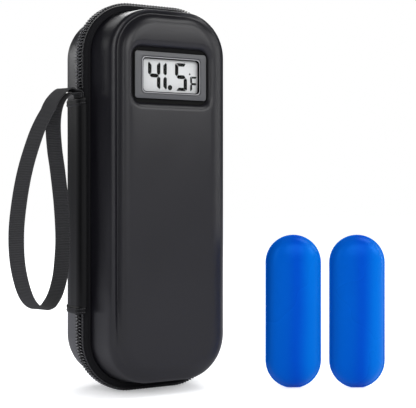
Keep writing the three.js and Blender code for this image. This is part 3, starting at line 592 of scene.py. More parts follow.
def makeShell(name, settings, side):
    # The outside skin runs from the middle of its panel to the rim, and the inside skin back to the floor
    outerLoop = frontLoop if side > 0 else ringLoop
    outside = [outerLoop(inset, side * depth) for inset, depth in reversed(settings["profile"])]
    inside = [ringLoop(inset, side * depth) for inset, depth in settings["inside"]]
    return loftLoops(name, outside + inside)


def dishCutter():
    inset, depth = dish["profile"][0]
    size = tuple((s - 2 * inset) * mm for s in dish["size"])
    place = (0, (depth - dish["panel"]) * mm, dish["height"] * mm)
    cutter = roundedFace("dishCutter", size, (dish["radius"] - inset) * mm, place, 12, 1)
    followProfile(dish["profile"])
    closeBack()
    return cutter


def holeCutter():
    size = tuple(s * mm for s in moduleHole["size"])
    place = (0, -(dish["panel"] + moduleHole["overrun"]) * mm, dish["height"] * mm)
    cutter = roundedFace("holeCutter", size, moduleHole["radius"] * mm, place, 5, 1)
    stepFace(0, moduleHole["through"] * mm)
    closeBack()
    return cutter


def makeShells():
    front = makeShell("front_shell_skin", frontShell, 1)
    cutWith(front, dishCutter(), holeCutter())
    smoothBy(front, 32)
    finishWith(front, leatherette, "lid", ["front_shell"])
    front.data.materials.append(paintedShadeLeatherette)
    # The dish's floor faces next to the bezel take the darker leatherette: painted shade in the moat round
    # the display
    nearFloor = (dish["profile"][-3][1] - dish["panel"]) * mm
    for face in front.data.polygons:
        x, y, z = face.center
        inDish = abs(x) < dish["size"][0] / 2 * mm and abs(z - dish["height"] * mm) < dish["size"][1] / 2 * mm
        facesFront = face.normal.y < -0.3
        if inDish and facesFront and nearFloor < y < nearFloor + dish["paintedShadeBand"] * mm:
            face.material_index = 1
    rear = makeShell("rear_shell_skin", rearShell, -1)
    smoothBy(rear, 32)
    finishWith(rear, leatherette, "base", ["rear_shell"])


makeShells()
print("shells made")


# Places round the zip ring
def ringPlace(distance, inset):
    # A place and its outward direction, at a distance up along the ring from the middle of its left side
    halfX, halfZ, radius = ring["width"] / 2, ring["height"] / 2, ring["radius"]
    up, over, arc = halfZ - radius, halfX - radius, radius * math.pi / 2
    legs = [
        ("line", up, (-halfX, halfZ), (0, 1), (-1, 0)),
        ("arc", arc, (-over, halfZ + up), math.pi, None),
        ("line", 2 * over, (-over, 2 * halfZ), (1, 0), (0, 1)),
        ("arc", arc, (over, halfZ + up), math.pi / 2, None),
        ("line", 2 * up, (halfX, halfZ + up), (0, -1), (1, 0)),
        ("arc", arc, (over, radius), 0, None),
        ("line", 2 * over, (over, 0), (-1, 0), (0, -1)),
        ("arc", arc, (-over, radius), -math.pi / 2, None),
        ("line", up, (-halfX, radius), (0, 1), (-1, 0)),
    ]
    left = distance
    for number, (kind, length, start, way, out) in enumerate(legs):
        if left <= length or number == len(legs) - 1:
            if kind == "line":
                x, z = start[0] + way[0] * left, start[1] + way[1] * left
            else:
                angle = way - left / radius
                out = (math.cos(angle), math.sin(angle))
                x, z = start[0] + radius * out[0], start[1] + radius * out[1]
            return Vector((x - out[0] * inset, 0, z - out[1] * inset)), Vector((out[0], 0, out[1]))
        left -= length


ringLength = 2 * (ring["width"] + ring["height"] - 4 * ring["radius"]) + 2 * math.pi * ring["radius"]
spine = {"bottom": 47.7, "top": 172.5}
chain = {
    "pitch": 1.9, "inset": 0.6, "halfWidth": 4.7, "head": 0.7, "filament": 0.5, "thick": 0.82, "tall": 1.35,
    "swell": 1.18, "pinch": (0.72, 0.7), "dip": 0.18, "heel": 1,
    "aboveCover": 5.2, "belowCover": 0.5, "cordStep": 1.6,
    "phases": {-1: 0.25, 1: 0.75},  # the two sides' teeth are half a pitch apart
    "cord": [(1.0, 3.3), (0.9, 3.8), (1.15, 4.2), (1.7, 4.25), (1.8, 3.6)],
}
chainStart = spine["top"] + chain["aboveCover"] - ring["height"] / 2
chainEnd = ringLength - (ring["height"] / 2 - spine["bottom"]) - chain["belowCover"]


def joinedCopies(name, source, places):
    # One mesh made of a copy of source at each place
    joined = bmesh.new()
    for place in places:
        before = len(joined.verts)
        joined.from_mesh(source.data)
        joined.verts.ensure_lookup_table()
        bmesh.ops.transform(joined, matrix=place, verts=joined.verts[before:])
    bpy.data.objects.remove(source)
    return pieceFrom(name, joined)


def coilTooth():
    # One turn of the coil, along +Y from its heel to its head: a thick filament, bent down at both ends
    deselectAll()
    length = chain["halfWidth"] + chain["head"]
    heel = -chain["halfWidth"]
    bpy.ops.mesh.primitive_cylinder_add(
        vertices=8,
        radius=chain["filament"] * mm,
        depth=length * mm,
        location=(0, (length / 2 - chain["halfWidth"]) * mm, 0),
        rotation=(math.pi / 2, 0, 0),
    )
    tooth = bpy.context.object
    tooth.scale = (chain["thick"], chain["tall"], 1)
    applyPlace(tooth)
    editMode("FACE")
    for cut in (0, heel + chain["heel"]):
        bpy.ops.mesh.select_all(action="SELECT")
        bpy.ops.mesh.bisect(plane_co=(0, cut * mm, 0), plane_no=(0, 1, 0))
    objectMode()
    nearly = 0.1
    for vertex in tooth.data.vertices:
        y = vertex.co.y / mm
        if y > -nearly:
            vertex.co.x *= chain["swell"]
        if y > nearly or y < heel + nearly:
            vertex.co.x *= chain["pinch"][0]
            vertex.co.z *= chain["pinch"][1]
            vertex.co.z -= chain["dip"] * mm
    return tooth


def makeChain(side, name, node, body):
    # Teeth of one side of the chain, square across the ring: side is -1 on the lid and 1 on the base
    count = int((chainEnd - chainStart) / chain["pitch"])
    places = []
    for number in range(count):
        distance = chainStart + (number + chain["phases"][side]) * chain["pitch"]
        place, out = ringPlace(distance, chain["inset"])
        across = Vector((0, -side, 0))
        along = across.cross(out)
        matrix = Matrix((along, across, out)).transposed().to_4x4()
        matrix.translation = place * mm
        places.append(matrix)
    teeth = joinedCopies(name, coilTooth(), places)
    section, step = chain["cord"], chain["cordStep"]
    joinParts(teeth, ringSweep(name + "_cord", section, side, chainStart, chainEnd, step, closed=True))
    smoothBy(teeth, 50)
    finishWith(teeth, coilPlastic, body, [node])


def joinRows(mesh, rows, closed, clothPlace):
    # Faces between rows of vertices: clothPlace gives where a column and row lie on the flat cloth
    uv = mesh.loops.layers.uv.new("UVMap")
    count = len(rows[0])
    for number, (near, far) in enumerate(zip(rows, rows[1:])):
        for i in range(count if closed else count - 1):
            j = (i + 1) % count
            face = mesh.faces.new((near[i], near[j], far[j], far[i]))
            corners = ((i, number), (j, number), (j, number + 1), (i, number + 1))
            for loop, (column, row) in zip(face.loops, corners):
                loop[uv].uv = Vector(clothPlace(column, row)) * mm
    if closed:
        mesh.faces.new(rows[0])
        mesh.faces.new(reversed(rows[-1]))


def ringSweep(name, section, side, first, last, step, closed=False):
    # A strip or a bar along the ring: its section is insets from the ring and distances from its middle
    columnWidth = 0.8  # on the flat cloth
    steps = int((last - first) / step)
    mesh = bmesh.new()
    rows = []
    for number in range(steps + 1):
        distance = first + (last - first) * number / steps
        row = []
        for inset, across in section:
            place, _ = ringPlace(distance, inset)
            row.append(mesh.verts.new((place.x * mm, side * across * mm, place.z * mm)))
        rows.append(row)
    joinRows(mesh, rows, closed, lambda column, row: (column * columnWidth, first + row * step))
    bmesh.ops.recalc_face_normals(mesh, faces=mesh.faces)
    return pieceFrom(name, mesh)


tapeShape = {
    "front": [
        (1.9, 0.4), (1.9, 2.6), (2.0, 4.0), (2.35, 4.9), (2.8, 5.6), (3.3, 6.0), (4.0, 6.25), (5.3, 6.2),
    ],
    "rear": [(1.9, 0.4), (1.9, 2.6), (2.0, 4.0), (2.35, 4.9), (2.8, 5.6), (3.2, 6.0), (3.7, 6.2)],
    "thickness": 0.45, "seam": 0.02, "step": 2.2,
}


def makeTape(name, section, side, node, body):
    tape = ringSweep(name, section, side, 0, ringLength, tapeShape["step"])
    addModifier(tape, "WELD", merge_threshold=tapeShape["seam"] * mm)
    editMode("FACE")
    faceOutwards()
    addModifier(tape, "SOLIDIFY", thickness=tapeShape["thickness"] * mm, offset=-side)
    smoothBy(tape, 40)
    finishWith(tape, zipFabric, body, [node])


makeChain(-1, "front_chain", "front_zip_coil", "lid")
makeChain(1, "rear_chain", "rear_zip_coil", "base")
makeTape("front_tape", tapeShape["front"], -1, "front_zip_tape", "lid")
makeTape("rear_tape", tapeShape["rear"], 1, "rear_zip_tape", "base")
print("zip made")


# Spine cover: outer face as places outwards (from the middle of the case) and towards the rear
spineCover = {
    "outline": [
        (44.6, -8.1), (45.5, -7.95), (46.6, -7.3), (47.5, -6.2), (48.1, -4.6), (48.45, -2.4), (48.5, 0),
        (48.55, 3.0), (48.6, 6.0), (48.5, 9.0), (48.1, 11.6), (47.3, 13.8), (46.2, 15.6), (45.0, 16.8),
        (44.2, 17.2),
    ],
    "thickness": 1.1, "hem": 4.2, "hemRise": 0.5, "edge": 0.5, "edgeDrop": 0.35, "hollow": 0.12,
    "bow": 0.7, "bowReach": 30, "rows": 64, "columns": 36,
    "hemRows": (0, 0.2, 0.5, 1.2, 2.1, 3.0, 3.7, 4.0, 4.2, 4.5), "bodyFrom": 4.8,
    "threads": (1.0, 3.1), "stitchPitch": 1.488, "stitchRadius": 0.5, "stitchScale": (0.42, 1.05, 0.42),
    "stitchLift": 0.02, "nudge": 0.01,
    "fold": {"start": (-0.048, 0.002, 0.11), "end": (-0.048, -0.002, 0.11)},
}


def curveThrough(points, share):
    # A place on a smooth curve through the points, with share running from 0 to 1 over its length
    lengths = [0]
    for a, b in zip(points, points[1:]):
        lengths.append(lengths[-1] + (Vector(b) - Vector(a)).length ** 0.5)
    at = share * lengths[-1]
    i = max(k for k in range(len(points) - 1) if lengths[k] <= at + 1e-9)
    p = [Vector(points[max(0, min(len(points) - 1, k))]) for k in (i - 1, i, i + 1, i + 2)]
    step = (at - lengths[i]) / (lengths[i + 1] - lengths[i])
    into = (p[2] - p[0]) / 2
    outof = (p[3] - p[1]) / 2
    a, b = step * step, step * step * step
    return p[1] * (2 * b - 3 * a + 1) + into * (b - 2 * a + step) + p[2] * (3 * a - 2 * b) + outof * (b - a)


def spinePlace(across, z, lift=0):
    x, y = curveThrough(spineCover["outline"], across)
    return Vector((-(x + lift), y, z)) * mm


def coverLift(z):
    # How far the hems stand out, with soft edges, and a little hollow between them
    low, high, soft = spine["bottom"], spine["top"], spineCover["edge"]
    edge = min(z - low, high - z)
    rise = max(0, min(1, (spineCover["hem"] - edge) / soft))
    roundEdge = max(0, 1 - edge / soft) ** 2 * spineCover["edgeDrop"]
    middle = math.sin(math.pi * (z - low) / (high - low))
    return spineCover["hemRise"] * rise - roundEdge - spineCover["hollow"] * middle * (1 - rise)


def coverBow(across):
    # The cover's ends are longer in the middle, over the chain
    return spineCover["bow"] * (1 - (2 * across - 1) ** 2)


def makeSpineCover():
    low, high, rows, columns = spine["bottom"], spine["top"], spineCover["rows"], spineCover["columns"]
    heights = [low + t for t in spineCover["hemRows"]]
    start = low + spineCover["bodyFrom"]
    body = [start + (high - low - 2 * spineCover["bodyFrom"]) * i / rows for i in range(rows)]
    heights = heights + body + [low + high - h for h in reversed(heights)]
    deselectAll()
    bpy.ops.mesh.primitive_grid_add(x_subdivisions=columns, y_subdivisions=len(heights) - 1, size=1)
    cover = bpy.context.object
    cover.name = "spine_cover_fabric"
    for number, vertex in enumerate(cover.data.vertices):
        column, row = number % (columns + 1), number // (columns + 1)
        across = column / columns
        z = heights[row]
        nearTop = max(0, 1 - (high - z) / spineCover["bowReach"])
        nearBottom = max(0, 1 - (z - low) / spineCover["bowReach"])
        vertex.co = spinePlace(across, z - coverBow(across) * (nearTop + nearBottom), coverLift(z))
    editMode("FACE")
    faceOutwards()
    middle = cover.data.polygons[len(cover.data.polygons) // 2]
    offset = -1 if middle.normal.x < 0 else 1
    addModifier(cover, "SOLIDIFY", thickness=spineCover["thickness"] * mm, offset=offset)
    smoothBy(cover, 50)
    finishWith(cover, spineLeatherette, None, ["spine_cover_front", "spine_cover_rear"])
    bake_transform(cover)


def makeSpineStitches():
    deselectAll()
    bpy.ops.mesh.primitive_uv_sphere_add(segments=8, ring_count=6, radius=spineCover["stitchRadius"] * mm)
    stitch = bpy.context.object
    stitch.scale = spineCover["stitchScale"]
    applyPlace(stitch)
    outline = [Vector(point) for point in spineCover["outline"]]
    length = sum((after - before).length for before, after in zip(outline, outline[1:]))
    count = int(length / spineCover["stitchPitch"])
    places = []
    for level in spineCover["threads"]:
        for z in (spine["bottom"] + level, spine["top"] - level):
            lift = coverLift(z) + spineCover["stitchLift"]
            for number in range(count):
                across = (number + 0.5) / count
                here = spinePlace(across, z - coverBow(across), lift)
                there = spinePlace(min(1, across + spineCover["nudge"]), z - coverBow(across), lift)
                along = (there - here).normalized()
                up = Vector((0, 0, 1))
                out = along.cross(up)
                matrix = Matrix((out, along, up)).transposed().to_4x4()
                matrix.translation = here
                places.append(matrix)
    stitches = joinedCopies("spine_cover_stitches", stitch, places)
    smoothBy(stitches, 60)
    finishWith(stitches, stitchThread, None)
    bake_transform(stitches)


makeSpineCover()
makeSpineStitches()
print("spine cover made")


# Wrist strap: its route is in shares of its reach outwards and its drop, and it turns towards the front
strap = {
    "inner": 45.3, "outer": 46.4, "drop": 121, "reach": 48.6, "face": 47.2, "tuck": 9,
    "innerBend": (0.8, 3.6), "outerBend": (0.8, 2.6),
    "turn": 25, "pivot": 46.5, "twistRate": 7, "swingRate": 2, "steps": 420,
    "width": 11.5, "thickness": 0.8, "edge": 0.75, "core": 0.8,
    "route": [
        (0.075, -0.035), (0.17, -0.04), (0.29, -0.01), (0.43, 0.04), (0.58, 0.115), (0.71, 0.205),
        (0.86, 0.35), (0.955, 0.5), (1, 0.65), (0.965, 0.8), (0.83, 0.935), (0.62, 0.99), (0.38, 0.955),
        (0.255, 0.87), (0.205, 0.75), (0.195, 0.65), (0.225, 0.5), (0.285, 0.35), (0.34, 0.25),
        (0.37, 0.14), (0.325, 0.055), (0.215, -0.002), (0.12, -0.018),
    ],
    "bend": {"start": (-0.0465, 0, 0.17), "end": (-0.0605, -0.0065, 0.17)},
}


def strapPoints():
    top, inner, outer = spine["top"], strap["inner"], strap["outer"]
    points = [(inner, top - strap["tuck"]), (inner, top)]
    points.append((inner + strap["innerBend"][0], top + strap["innerBend"][1]))
    for out, down in strap["route"]:
        points.append((strap["face"] + out * strap["reach"], top - down * strap["drop"]))
    points.append((outer + strap["outerBend"][0], top + strap["outerBend"][1]))
    points += [(outer, top), (outer, top - strap["tuck"])]
    return points


def strapSection():
    # Half of the ribbon's section, with a bead at each edge, and then the same again on its other face
    half, thick, core = strap["width"] / 2, strap["thickness"] / 2, strap["core"]
    edge = strap["edge"] / half
    side = [(-1, -0.6), (-1 + edge * 0.3, -1), (-1 + edge, -0.85), (-0.5, -core), (0, -core), (0.5, -core)]
    side += [(1 - edge, -0.85), (1 - edge * 0.3, -1), (1, -0.6)]
    face = [(w * half, t * thick) for w, t in side]
    return face + [(w, -t) for w, t in reversed(face)]


def makeStrap():
    points, section = strapPoints(), strapSection()
    mesh = bmesh.new()
    rows, travelled, last, nudge = [], [0], None, 0.001
    pivot, most = strap["pivot"], math.radians(strap["turn"])
    for number in range(strap["steps"] + 1):
        share = number / strap["steps"]
        x, z = curveThrough(points, share)
        ahead = curveThrough(points, min(1, share + nudge)) - curveThrough(points, max(0, share - nudge))
        ahead.normalize()
        reach = max(0, x - pivot) / strap["reach"]
        turn = most * min(1, reach * strap["twistRate"])
        bearing = most * min(1, reach * strap["swingRate"])
        out = Vector((-math.cos(bearing), -math.sin(bearing), 0))
        ribbonOut = Vector((-math.cos(turn), -math.sin(turn), 0))
        across = Vector((-math.sin(turn), math.cos(turn), 0))
        middle = Vector((-pivot, 0, z)) + out * (x - pivot)
        flat = (ribbonOut * -ahead.y + Vector((0, 0, ahead.x))).normalized()
        if last is not None:
            travelled.append(travelled[-1] + (middle - last).length)
        last = middle
        rows.append([mesh.verts.new((middle + across * w + flat * t) * mm) for w, t in section])
    joinRows(mesh, rows, True, lambda column, row: (section[column][0], travelled[row]))
    bmesh.ops.recalc_face_normals(mesh, faces=mesh.faces)
    ribbon = pieceFrom("wrist_strap_ribbon", mesh)
    smoothBy(ribbon, 50)
    finishWith(ribbon, strapWebbing, None, ["wrist_strap"])
    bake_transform(ribbon)


makeStrap()
print("strap made")


# Thermometer: sizes across, up and the depths of each layer
module = {
    "height": dish["height"],
    "bezel": [
        ((46.5, 27), 1.6, 27.7), ((46.5, 27), 1.6, 28.12), ((46.35, 26.85), 1.55, 28.28),
        ((46.05, 26.55), 1.5, 28.36), ((39.5, 22.3), 2.8, 28.86), ((39.2, 22.0), 2.7, 28.8),
        ((39.0, 21.8), 2.6, 28.1), ((36.4, 19.3), 2.2, 28.0), ((36.3, 19.2), 2.2, 27.7),
    ],
    "rim": [
        ((38.1, 20.9), 2.4, 28.15), ((38.1, 20.9), 2.4, 28.7), ((37.95, 20.75), 2.35, 28.88),
        ((37.5, 20.3), 2.3, 28.92), ((37.1, 19.9), 2.25, 28.85), ((37.0, 19.8), 2.2, 28.15),
    ],
    "wall": [
        ((36.9, 19.7), 2.2, 28.15), ((36.9, 19.7), 2.2, 28.75), ((36.2, 19.0), 2.1, 28.4),
        ((36.0, 18.8), 2.0, 27.5), ((36.2, 19.0), 2.1, 27.5),
    ],
    "lens": {"size": (42.2, 22.8), "front": 27.4, "back": 26.6},
    "display": {"size": (39, 21), "front": 26.3, "back": 24.9, "radius": 0.8},
}
digits = {
    "stroke": 2.25, "gap": 0.36, "low": 177.0, "tall": 16.2, "wide": 8.0, "ink": 0.06,
    "four": -14.1, "one": -9.9, "five": 3.5, "dot": (0.2, 178.6, 1.5),
    "unit": {"left": 13.6, "wide": 4.9, "tall": 8.8, "stroke": 1.35},
    "degree": (13.3, 187.1, 0.55),
}


def segmentShapes(wide, tall, stroke, gap):
    # Outlines of the seven strokes of a digit, by their usual letters
    half, under, top, foot = tall / 2, tall - stroke * 0.85, tall - gap, tall / 2 + gap
    upright = [(0, top - stroke * 0.3), (stroke * 0.3, top), (stroke, top - stroke * 0.75)]
    upright += [(stroke, foot + stroke * 0.55), (stroke * 0.5, foot), (0, foot + stroke * 0.4)]
    bar = [(stroke * 0.25 + gap, tall), (wide - stroke * 0.25 - gap, tall)]
    bar += [(wide - stroke * 0.7 - gap, under), (stroke * 0.95 + gap, under)]
    tip, shoulder = stroke * 0.3 + gap, stroke * 0.8 + gap
    middle = [(tip, half), (shoulder, half + stroke / 2), (wide - shoulder, half + stroke / 2)]
    middle += [(wide - tip, half), (wide - shoulder, half - stroke / 2), (shoulder, half - stroke / 2)]
    right = [(wide - x, z) for x, z in upright]
    return {
        "a": bar,
        "b": right,
        "c": [(x, tall - z) for x, z in right],
        "d": [(x, tall - z) for x, z in bar],
        "e": [(x, tall - z) for x, z in upright],
        "f": upright,
        "g": middle,
    }


def addOutline(mesh, outline, left, low, depth):
    verts = [mesh.verts.new(((left + x) * mm, -depth * mm, (low + z) * mm)) for x, z in outline]
    mesh.faces.new(verts)


def makeDigits():
    mesh = bmesh.new()
    depth = module["display"]["front"]
    shapes = segmentShapes(digits["wide"], digits["tall"], digits["stroke"], digits["gap"])
    for name, letters in (("four", "fgbc"), ("one", "bc"), ("five", "afgcd")):
        for letter in letters:
            addOutline(mesh, shapes[letter], digits[name], digits["low"], depth)
    unit = digits["unit"]
    small = segmentShapes(unit["wide"], unit["tall"], unit["stroke"], digits["gap"] / 2)
    for letter in "afeg":
        addOutline(mesh, small[letter], unit["left"], digits["low"], depth)
    ways = [math.pi * step / 12 for step in range(24)]
    for x, z, radius in (digits["dot"], digits["degree"]):
        addOutline(mesh, [(radius * math.cos(w), radius * math.sin(w)) for w in ways], x, z, depth)
    ink = pieceFrom("display_digits", mesh)
    makeActive(ink)
    editAll()
    bpy.ops.mesh.extrude_region_move(TRANSFORM_OT_translate={"value": (0, -digits["ink"] * mm, 0)})
    faceOutwards()
    finishWith(ink, inkAndPaintedShade, "lid")


def layerBlock(name, settings, steps=5, roundEdge=0.1):
    # A flat plate between two depths, with its front edge rounded
    size = tuple(s * mm for s in settings["size"])
    place = (0, -settings["back"] * mm, module["height"] * mm)
    plate = roundedFace(name, size, settings.get("radius", 1.2) * mm, place, steps, -1)
    stepFace(0, (settings["front"] - settings["back"] - roundEdge) * mm)
    softenEdge(roundEdge)
    closeBack()
    return plate


def plateLoop(size, radius, depth, steps=6):
    # A rounded rectangle round the middle of the display
    arcs = cornerArcs(size[0] / 2, size[1] / 2, radius, module["height"], depth, steps)
    return [place for arc in arcs for place in arc]


def makeFrame(name, steps, degrees, material, replaces=()):
    border = loftLoops(name, [plateLoop(*step) for step in steps], ringShaped=True)
    smoothBy(border, degrees)
    finishWith(border, material, "lid", replaces)


def makeModule():
    makeFrame("display_bezel_frame", module["bezel"], 30, bezelPlastic, ["display_bezel"])
    lens = layerBlock("window_lens_plate", module["lens"])
    smoothBy(lens, 30)
    finishWith(lens, clearWindow, "lid", ["display_window"])
    makeFrame("window_rim", module["rim"], 40, paintedHighlightRim)  # a lip round the display, painted light grey as a highlight
    makeFrame("window_wall", module["wall"], 40, inkAndPaintedShade)  # the wall inside it, painted black as shade
    display = layerBlock("lcd_glass_plate", module["display"])
    smoothBy(display, 30)
    finishWith(display, displayGlass, "lid", ["lcd_glass"])
    makeDigits()


makeModule()
print("thermometer front made")


# Inner parts of the thermometer, behind the bezel
def boxPiece(name, low, high, bevel, segments=2):
    deselectAll()
    middle = [(a + b) / 2 * mm for a, b in zip(low, high)]
    bpy.ops.mesh.primitive_cube_add(size=1, location=middle)
    box = bpy.context.object
    box.name = name
    box.scale = [(b - a) * mm for a, b in zip(low, high)]
    applyPlace(box)
    editAll("EDGE")
    bpy.ops.mesh.bevel(offset=bevel * mm, segments=segments, affect="EDGES")
    objectMode()
    return box


def discPiece(name, radius, x, front, back, bevel=0):
    # A round part along Y between two places, given in millimetres, with softened ends
    deselectAll()
    bpy.ops.mesh.primitive_cylinder_add(
        vertices=40,
        radius=radius * mm,
        depth=(back - front) * mm,
        location=(x * mm, (front + back) / 2 * mm, module["height"] * mm),
        rotation=(math.pi / 2, 0, 0),
    )
    disc = bpy.context.object
    disc.name = name
    applyPlace(disc)
    if bevel:
        editMode("FACE")
        bpy.ops.mesh.select_all(action="DESELECT")
        objectMode()
        for face in disc.data.polygons:
            face.select = len(face.vertices) > 4
        editMode("FACE")
        bpy.ops.mesh.bevel(offset=bevel * mm, segments=3, affect="EDGES")
        objectMode()
    return disc


# The housing and the board have depths in front of the parting plane, the other parts have places along Y
inner = {
    "housing": {
        "size": (43.8, 24.4), "radius": 2, "front": 27.4, "back": 14.0, "wall": 1.2, "edge": 0.4,
        "overrun": 2, "holeFrom": -17, "holeTo": -10, "holePlay": 0.35,
    },
    "board": {
        "size": (40.6, 21.2), "front": 22.3, "back": 21.3, "notch": 1.5, "overrun": 3,
        "chips": [
            ((9.6, 189.6), (14.6, 194.0), 0.9), ((16.2, 176.6), (18.2, 177.8), 0.6),
            ((12.4, 176.6), (14.4, 177.8), 0.6),
        ],
        "pads": [(7.4, 176.4), (7.4, 178.6), (16.6, 190.4), (16.6, 192.6), (-18.6, 192.4), (-16.4, 192.4)],
        "padSize": (1.4, 0.12, 1.0), "sink": 0.05,
    },
    "strip": {
        "low": (-17.6, -24.6, 191.6), "high": (17.6, -22.6, 193.6), "ribs": 44, "groove": 0.14, "corner": 0.3,
    },
    "cells": {
        "radius": 5.8, "places": (-13.8, -1.4), "front": -21, "back": -15.8,
        "capInset": 1.1, "capRise": 0.9, "capTall": 1.1,
    },
    "window": {"low": (-19.9, -16.5, 179.0), "high": (4.7, -10, 191.2)},
    "door": {
        "low": (-21.1, -13.7, 177.8), "high": (5.9, -12.5, 192.4),
        "grips": 5, "gripFrom": 2.2, "gripPitch": 1.5, "gripWide": 0.75, "gripDeep": 0.45,
        "gripLow": 181.4, "gripHigh": 188.8,
    },
    "button": {
        "x": 15.6, "radius": 2.5,
        "profile": [
            (3.2, -20.5), (3.35, -20.35), (3.35, -19.75), (3.2, -19.6), (2.5, -19.6), (2.5, -13.55),
            (2.42, -13.2), (2.2, -13.0), (1.95, -13.02), (1.6, -13.18), (0.8, -13.28),
        ],
    },
    "sensor": {
        "x": 9.2, "radius": 1.5,
        "profile": [
            (1.1, -21), (1.1, -16.2), (1.5, -15.8), (1.5, -13.7), (1.4, -13.1), (1.05, -12.6), (0.45, -12.4),
        ],
    },
}


def makeHousing():
    shape = inner["housing"]
    front, back, wall, edge = shape["front"], shape["back"], shape["wall"], shape["edge"]
    size = tuple(s * mm for s in shape["size"])
    place = (0, -front * mm, module["height"] * mm)
    housing = roundedFace("module_housing_shell", size, shape["radius"] * mm, place, 6, 1)
    stepFace(0, (front - back - edge) * mm)
    softenEdge(edge)
    closeBack()
    insideSize = tuple((s - 2 * wall) * mm for s in shape["size"])
    insidePlace = (0, -(front + shape["overrun"]) * mm, module["height"] * mm)
    hollow = roundedFace("hollow", insideSize, (shape["radius"] - wall / 2) * mm, insidePlace, 5, 1)
    stepFace(0, (front + shape["overrun"] - back - wall) * mm)
    closeBack()
    cutters = [hollow, boxPiece("window", inner["window"]["low"], inner["window"]["high"], 0.4)]
    for part in (inner["button"], inner["sensor"]):
        radius = part["radius"] + shape["holePlay"]
        cutters.append(discPiece("hole", radius, part["x"], shape["holeFrom"], shape["holeTo"]))
    cutWith(housing, *cutters)
    smoothBy(housing, 30)
    finishWith(housing, bezelPlastic, "lid", ["module_housing"])


def makeBoard():
    shape = inner["board"]
    board = layerBlock("circuit_board_plate", shape)
    halfX, halfZ, back = shape["size"][0] / 2, shape["size"][1] / 2, -shape["back"]
    notch, overrun = shape["notch"], shape["overrun"]
    notches = []
    for x, z in ((-halfX, halfZ), (halfX, halfZ), (-halfX, -halfZ), (halfX, -halfZ)):
        low = (x - notch, back - overrun, module["height"] + z - notch)
        high = (x + notch, back + overrun, module["height"] + z + notch)
        notches.append(boxPiece("notch", low, high, 0.3))
    cutWith(board, *notches)
    smoothBy(board, 30)
    finishWith(board, boardResin, "lid", ["circuit_board"])
    under, mounted = back - shape["sink"], []
    for (left, low), (right, high), tall in shape["chips"]:
        mounted.append(boxPiece("chip", (left, under, low), (right, back + tall, high), 0.15))
        mounted[-1].data.materials.append(rubberKey)
    wide, tall, high = shape["padSize"]
    for x, z in shape["pads"]:
        corner = (x + wide / 2, back + tall, z + high / 2)
        mounted.append(boxPiece("pad", (x - wide / 2, under, z - high / 2), corner, 0.05))
        mounted[-1].data.materials.append(cellSteel)
    joinParts(board, *mounted)


def makeContactStrip():
    # A bar of layered rubber, with fine ribs along it and cut corners
    shape = inner["strip"]
    (left, front, low), (right, back, high) = shape["low"], shape["high"]
    count, cut = 2 * shape["ribs"], shape["corner"]
    loops = []
    for step in range(count + 1):
        x = left + (right - left) * step / count
        g = shape["groove"] if step % 4 in (1, 2) else 0
        near, far, under, top = front + g, back - g, low + g, high - g
        loops.append([
            (x, near + cut, under), (x, far - cut, under), (x, far, under + cut), (x, far, top - cut),
            (x, far - cut, top), (x, near + cut, top), (x, near, top - cut), (x, near, under + cut),
        ])
    strip = loftLoops("contact_strip_bar", loops)
    smoothBy(strip, 30)
    finishWith(strip, rubberKey, "lid", ["contact_strip"])


def turnedPiece(name, shape):
    # A round part along Y, from the radii and places of its profile
    x, z = shape["x"], module["height"]
    ways = [2 * math.pi * step / 40 for step in range(40)]
    loops = []
    for radius, y in shape["profile"]:
        loops.append([(x + radius * math.cos(w), y, z + radius * math.sin(w)) for w in ways])
    return loftLoops(name, loops)


def makeCells():
    cells = inner["cells"]
    front, back, radius = cells["front"], cells["back"], cells["radius"]
    for side, x in zip(("left", "right"), cells["places"]):
        can = discPiece("button_cell_" + side + "_can", radius, x, front + cells["capRise"], back, 0.45)
        cap = discPiece("cell_cap", radius - cells["capInset"], x, front, front + cells["capTall"], 0.25)
        joinParts(can, cap)
        smoothBy(can, 30)
        finishWith(can, cellSteel, "lid", ["button_cell_" + side])


def makeDoor():
    shape = inner["door"]
    door = boxPiece("battery_door_plate", shape["low"], shape["high"], 0.3, 3)
    face, grips = shape["high"][1], []
    for number in range(shape["grips"]):
        left = shape["low"][0] + shape["gripFrom"] + number * shape["gripPitch"]
        low = (left, face - shape["gripDeep"], shape["gripLow"])
        grips.append(boxPiece("grip", low, (left + shape["gripWide"], face + 1, shape["gripHigh"]), 0.15))
    cutWith(door, *grips)
    smoothBy(door, 30)
    finishWith(door, bezelPlastic, "battery_door", ["battery_door"])


def makeButtonAndSensor():
    button = turnedPiece("unit_button_key", inner["button"])
    smoothBy(button, 30)
    finishWith(button, rubberKey, "unit_button", ["unit_button"])
    sensor = turnedPiece("temperature_sensor_tip", inner["sensor"])
    smoothBy(sensor, 40)
    finishWith(sensor, cellSteel, "lid", ["temperature_sensor"])


makeHousing()
makeBoard()
makeContactStrip()
makeCells()
makeDoor()
makeButtonAndSensor()
print("thermometer inside made")


# Insulation and lining: the shells' inside faces, drawn in by the distances of each layer's two sides
layers = {
    "insulation": {"front": (0.3, 2.9), "rear": (0.3, 4.5)},
    "lining": {"front": (3.2, 3.8), "rear": (4.8, 5.4)},
}


def drawnIn(profile, distance):
    # The rim stays at its depth
    (rimInset, rimDepth), *rest = profile
    return [(rimInset + distance, rimDepth)] + [(inset + distance, depth - distance) for inset, depth in rest]


def makeLayer(name, kind, half, material):
    shell, side, body = (frontShell, 1, "lid") if half == "front" else (rearShell, -1, "base")
    outer, inward = layers[kind][half]
    outside = [ringLoop(inset, side * depth) for inset, depth in reversed(drawnIn(shell["inside"], outer))]
    inside = [ringLoop(inset, side * depth) for inset, depth in drawnIn(shell["inside"], inward)]
    layer = loftLoops(half + "_" + name, outside + inside)
    if half == "front":
        cutWith(layer, holeCutter())
    smoothBy(layer, 32)
    finishWith(layer, material, body, [half + "_" + kind])


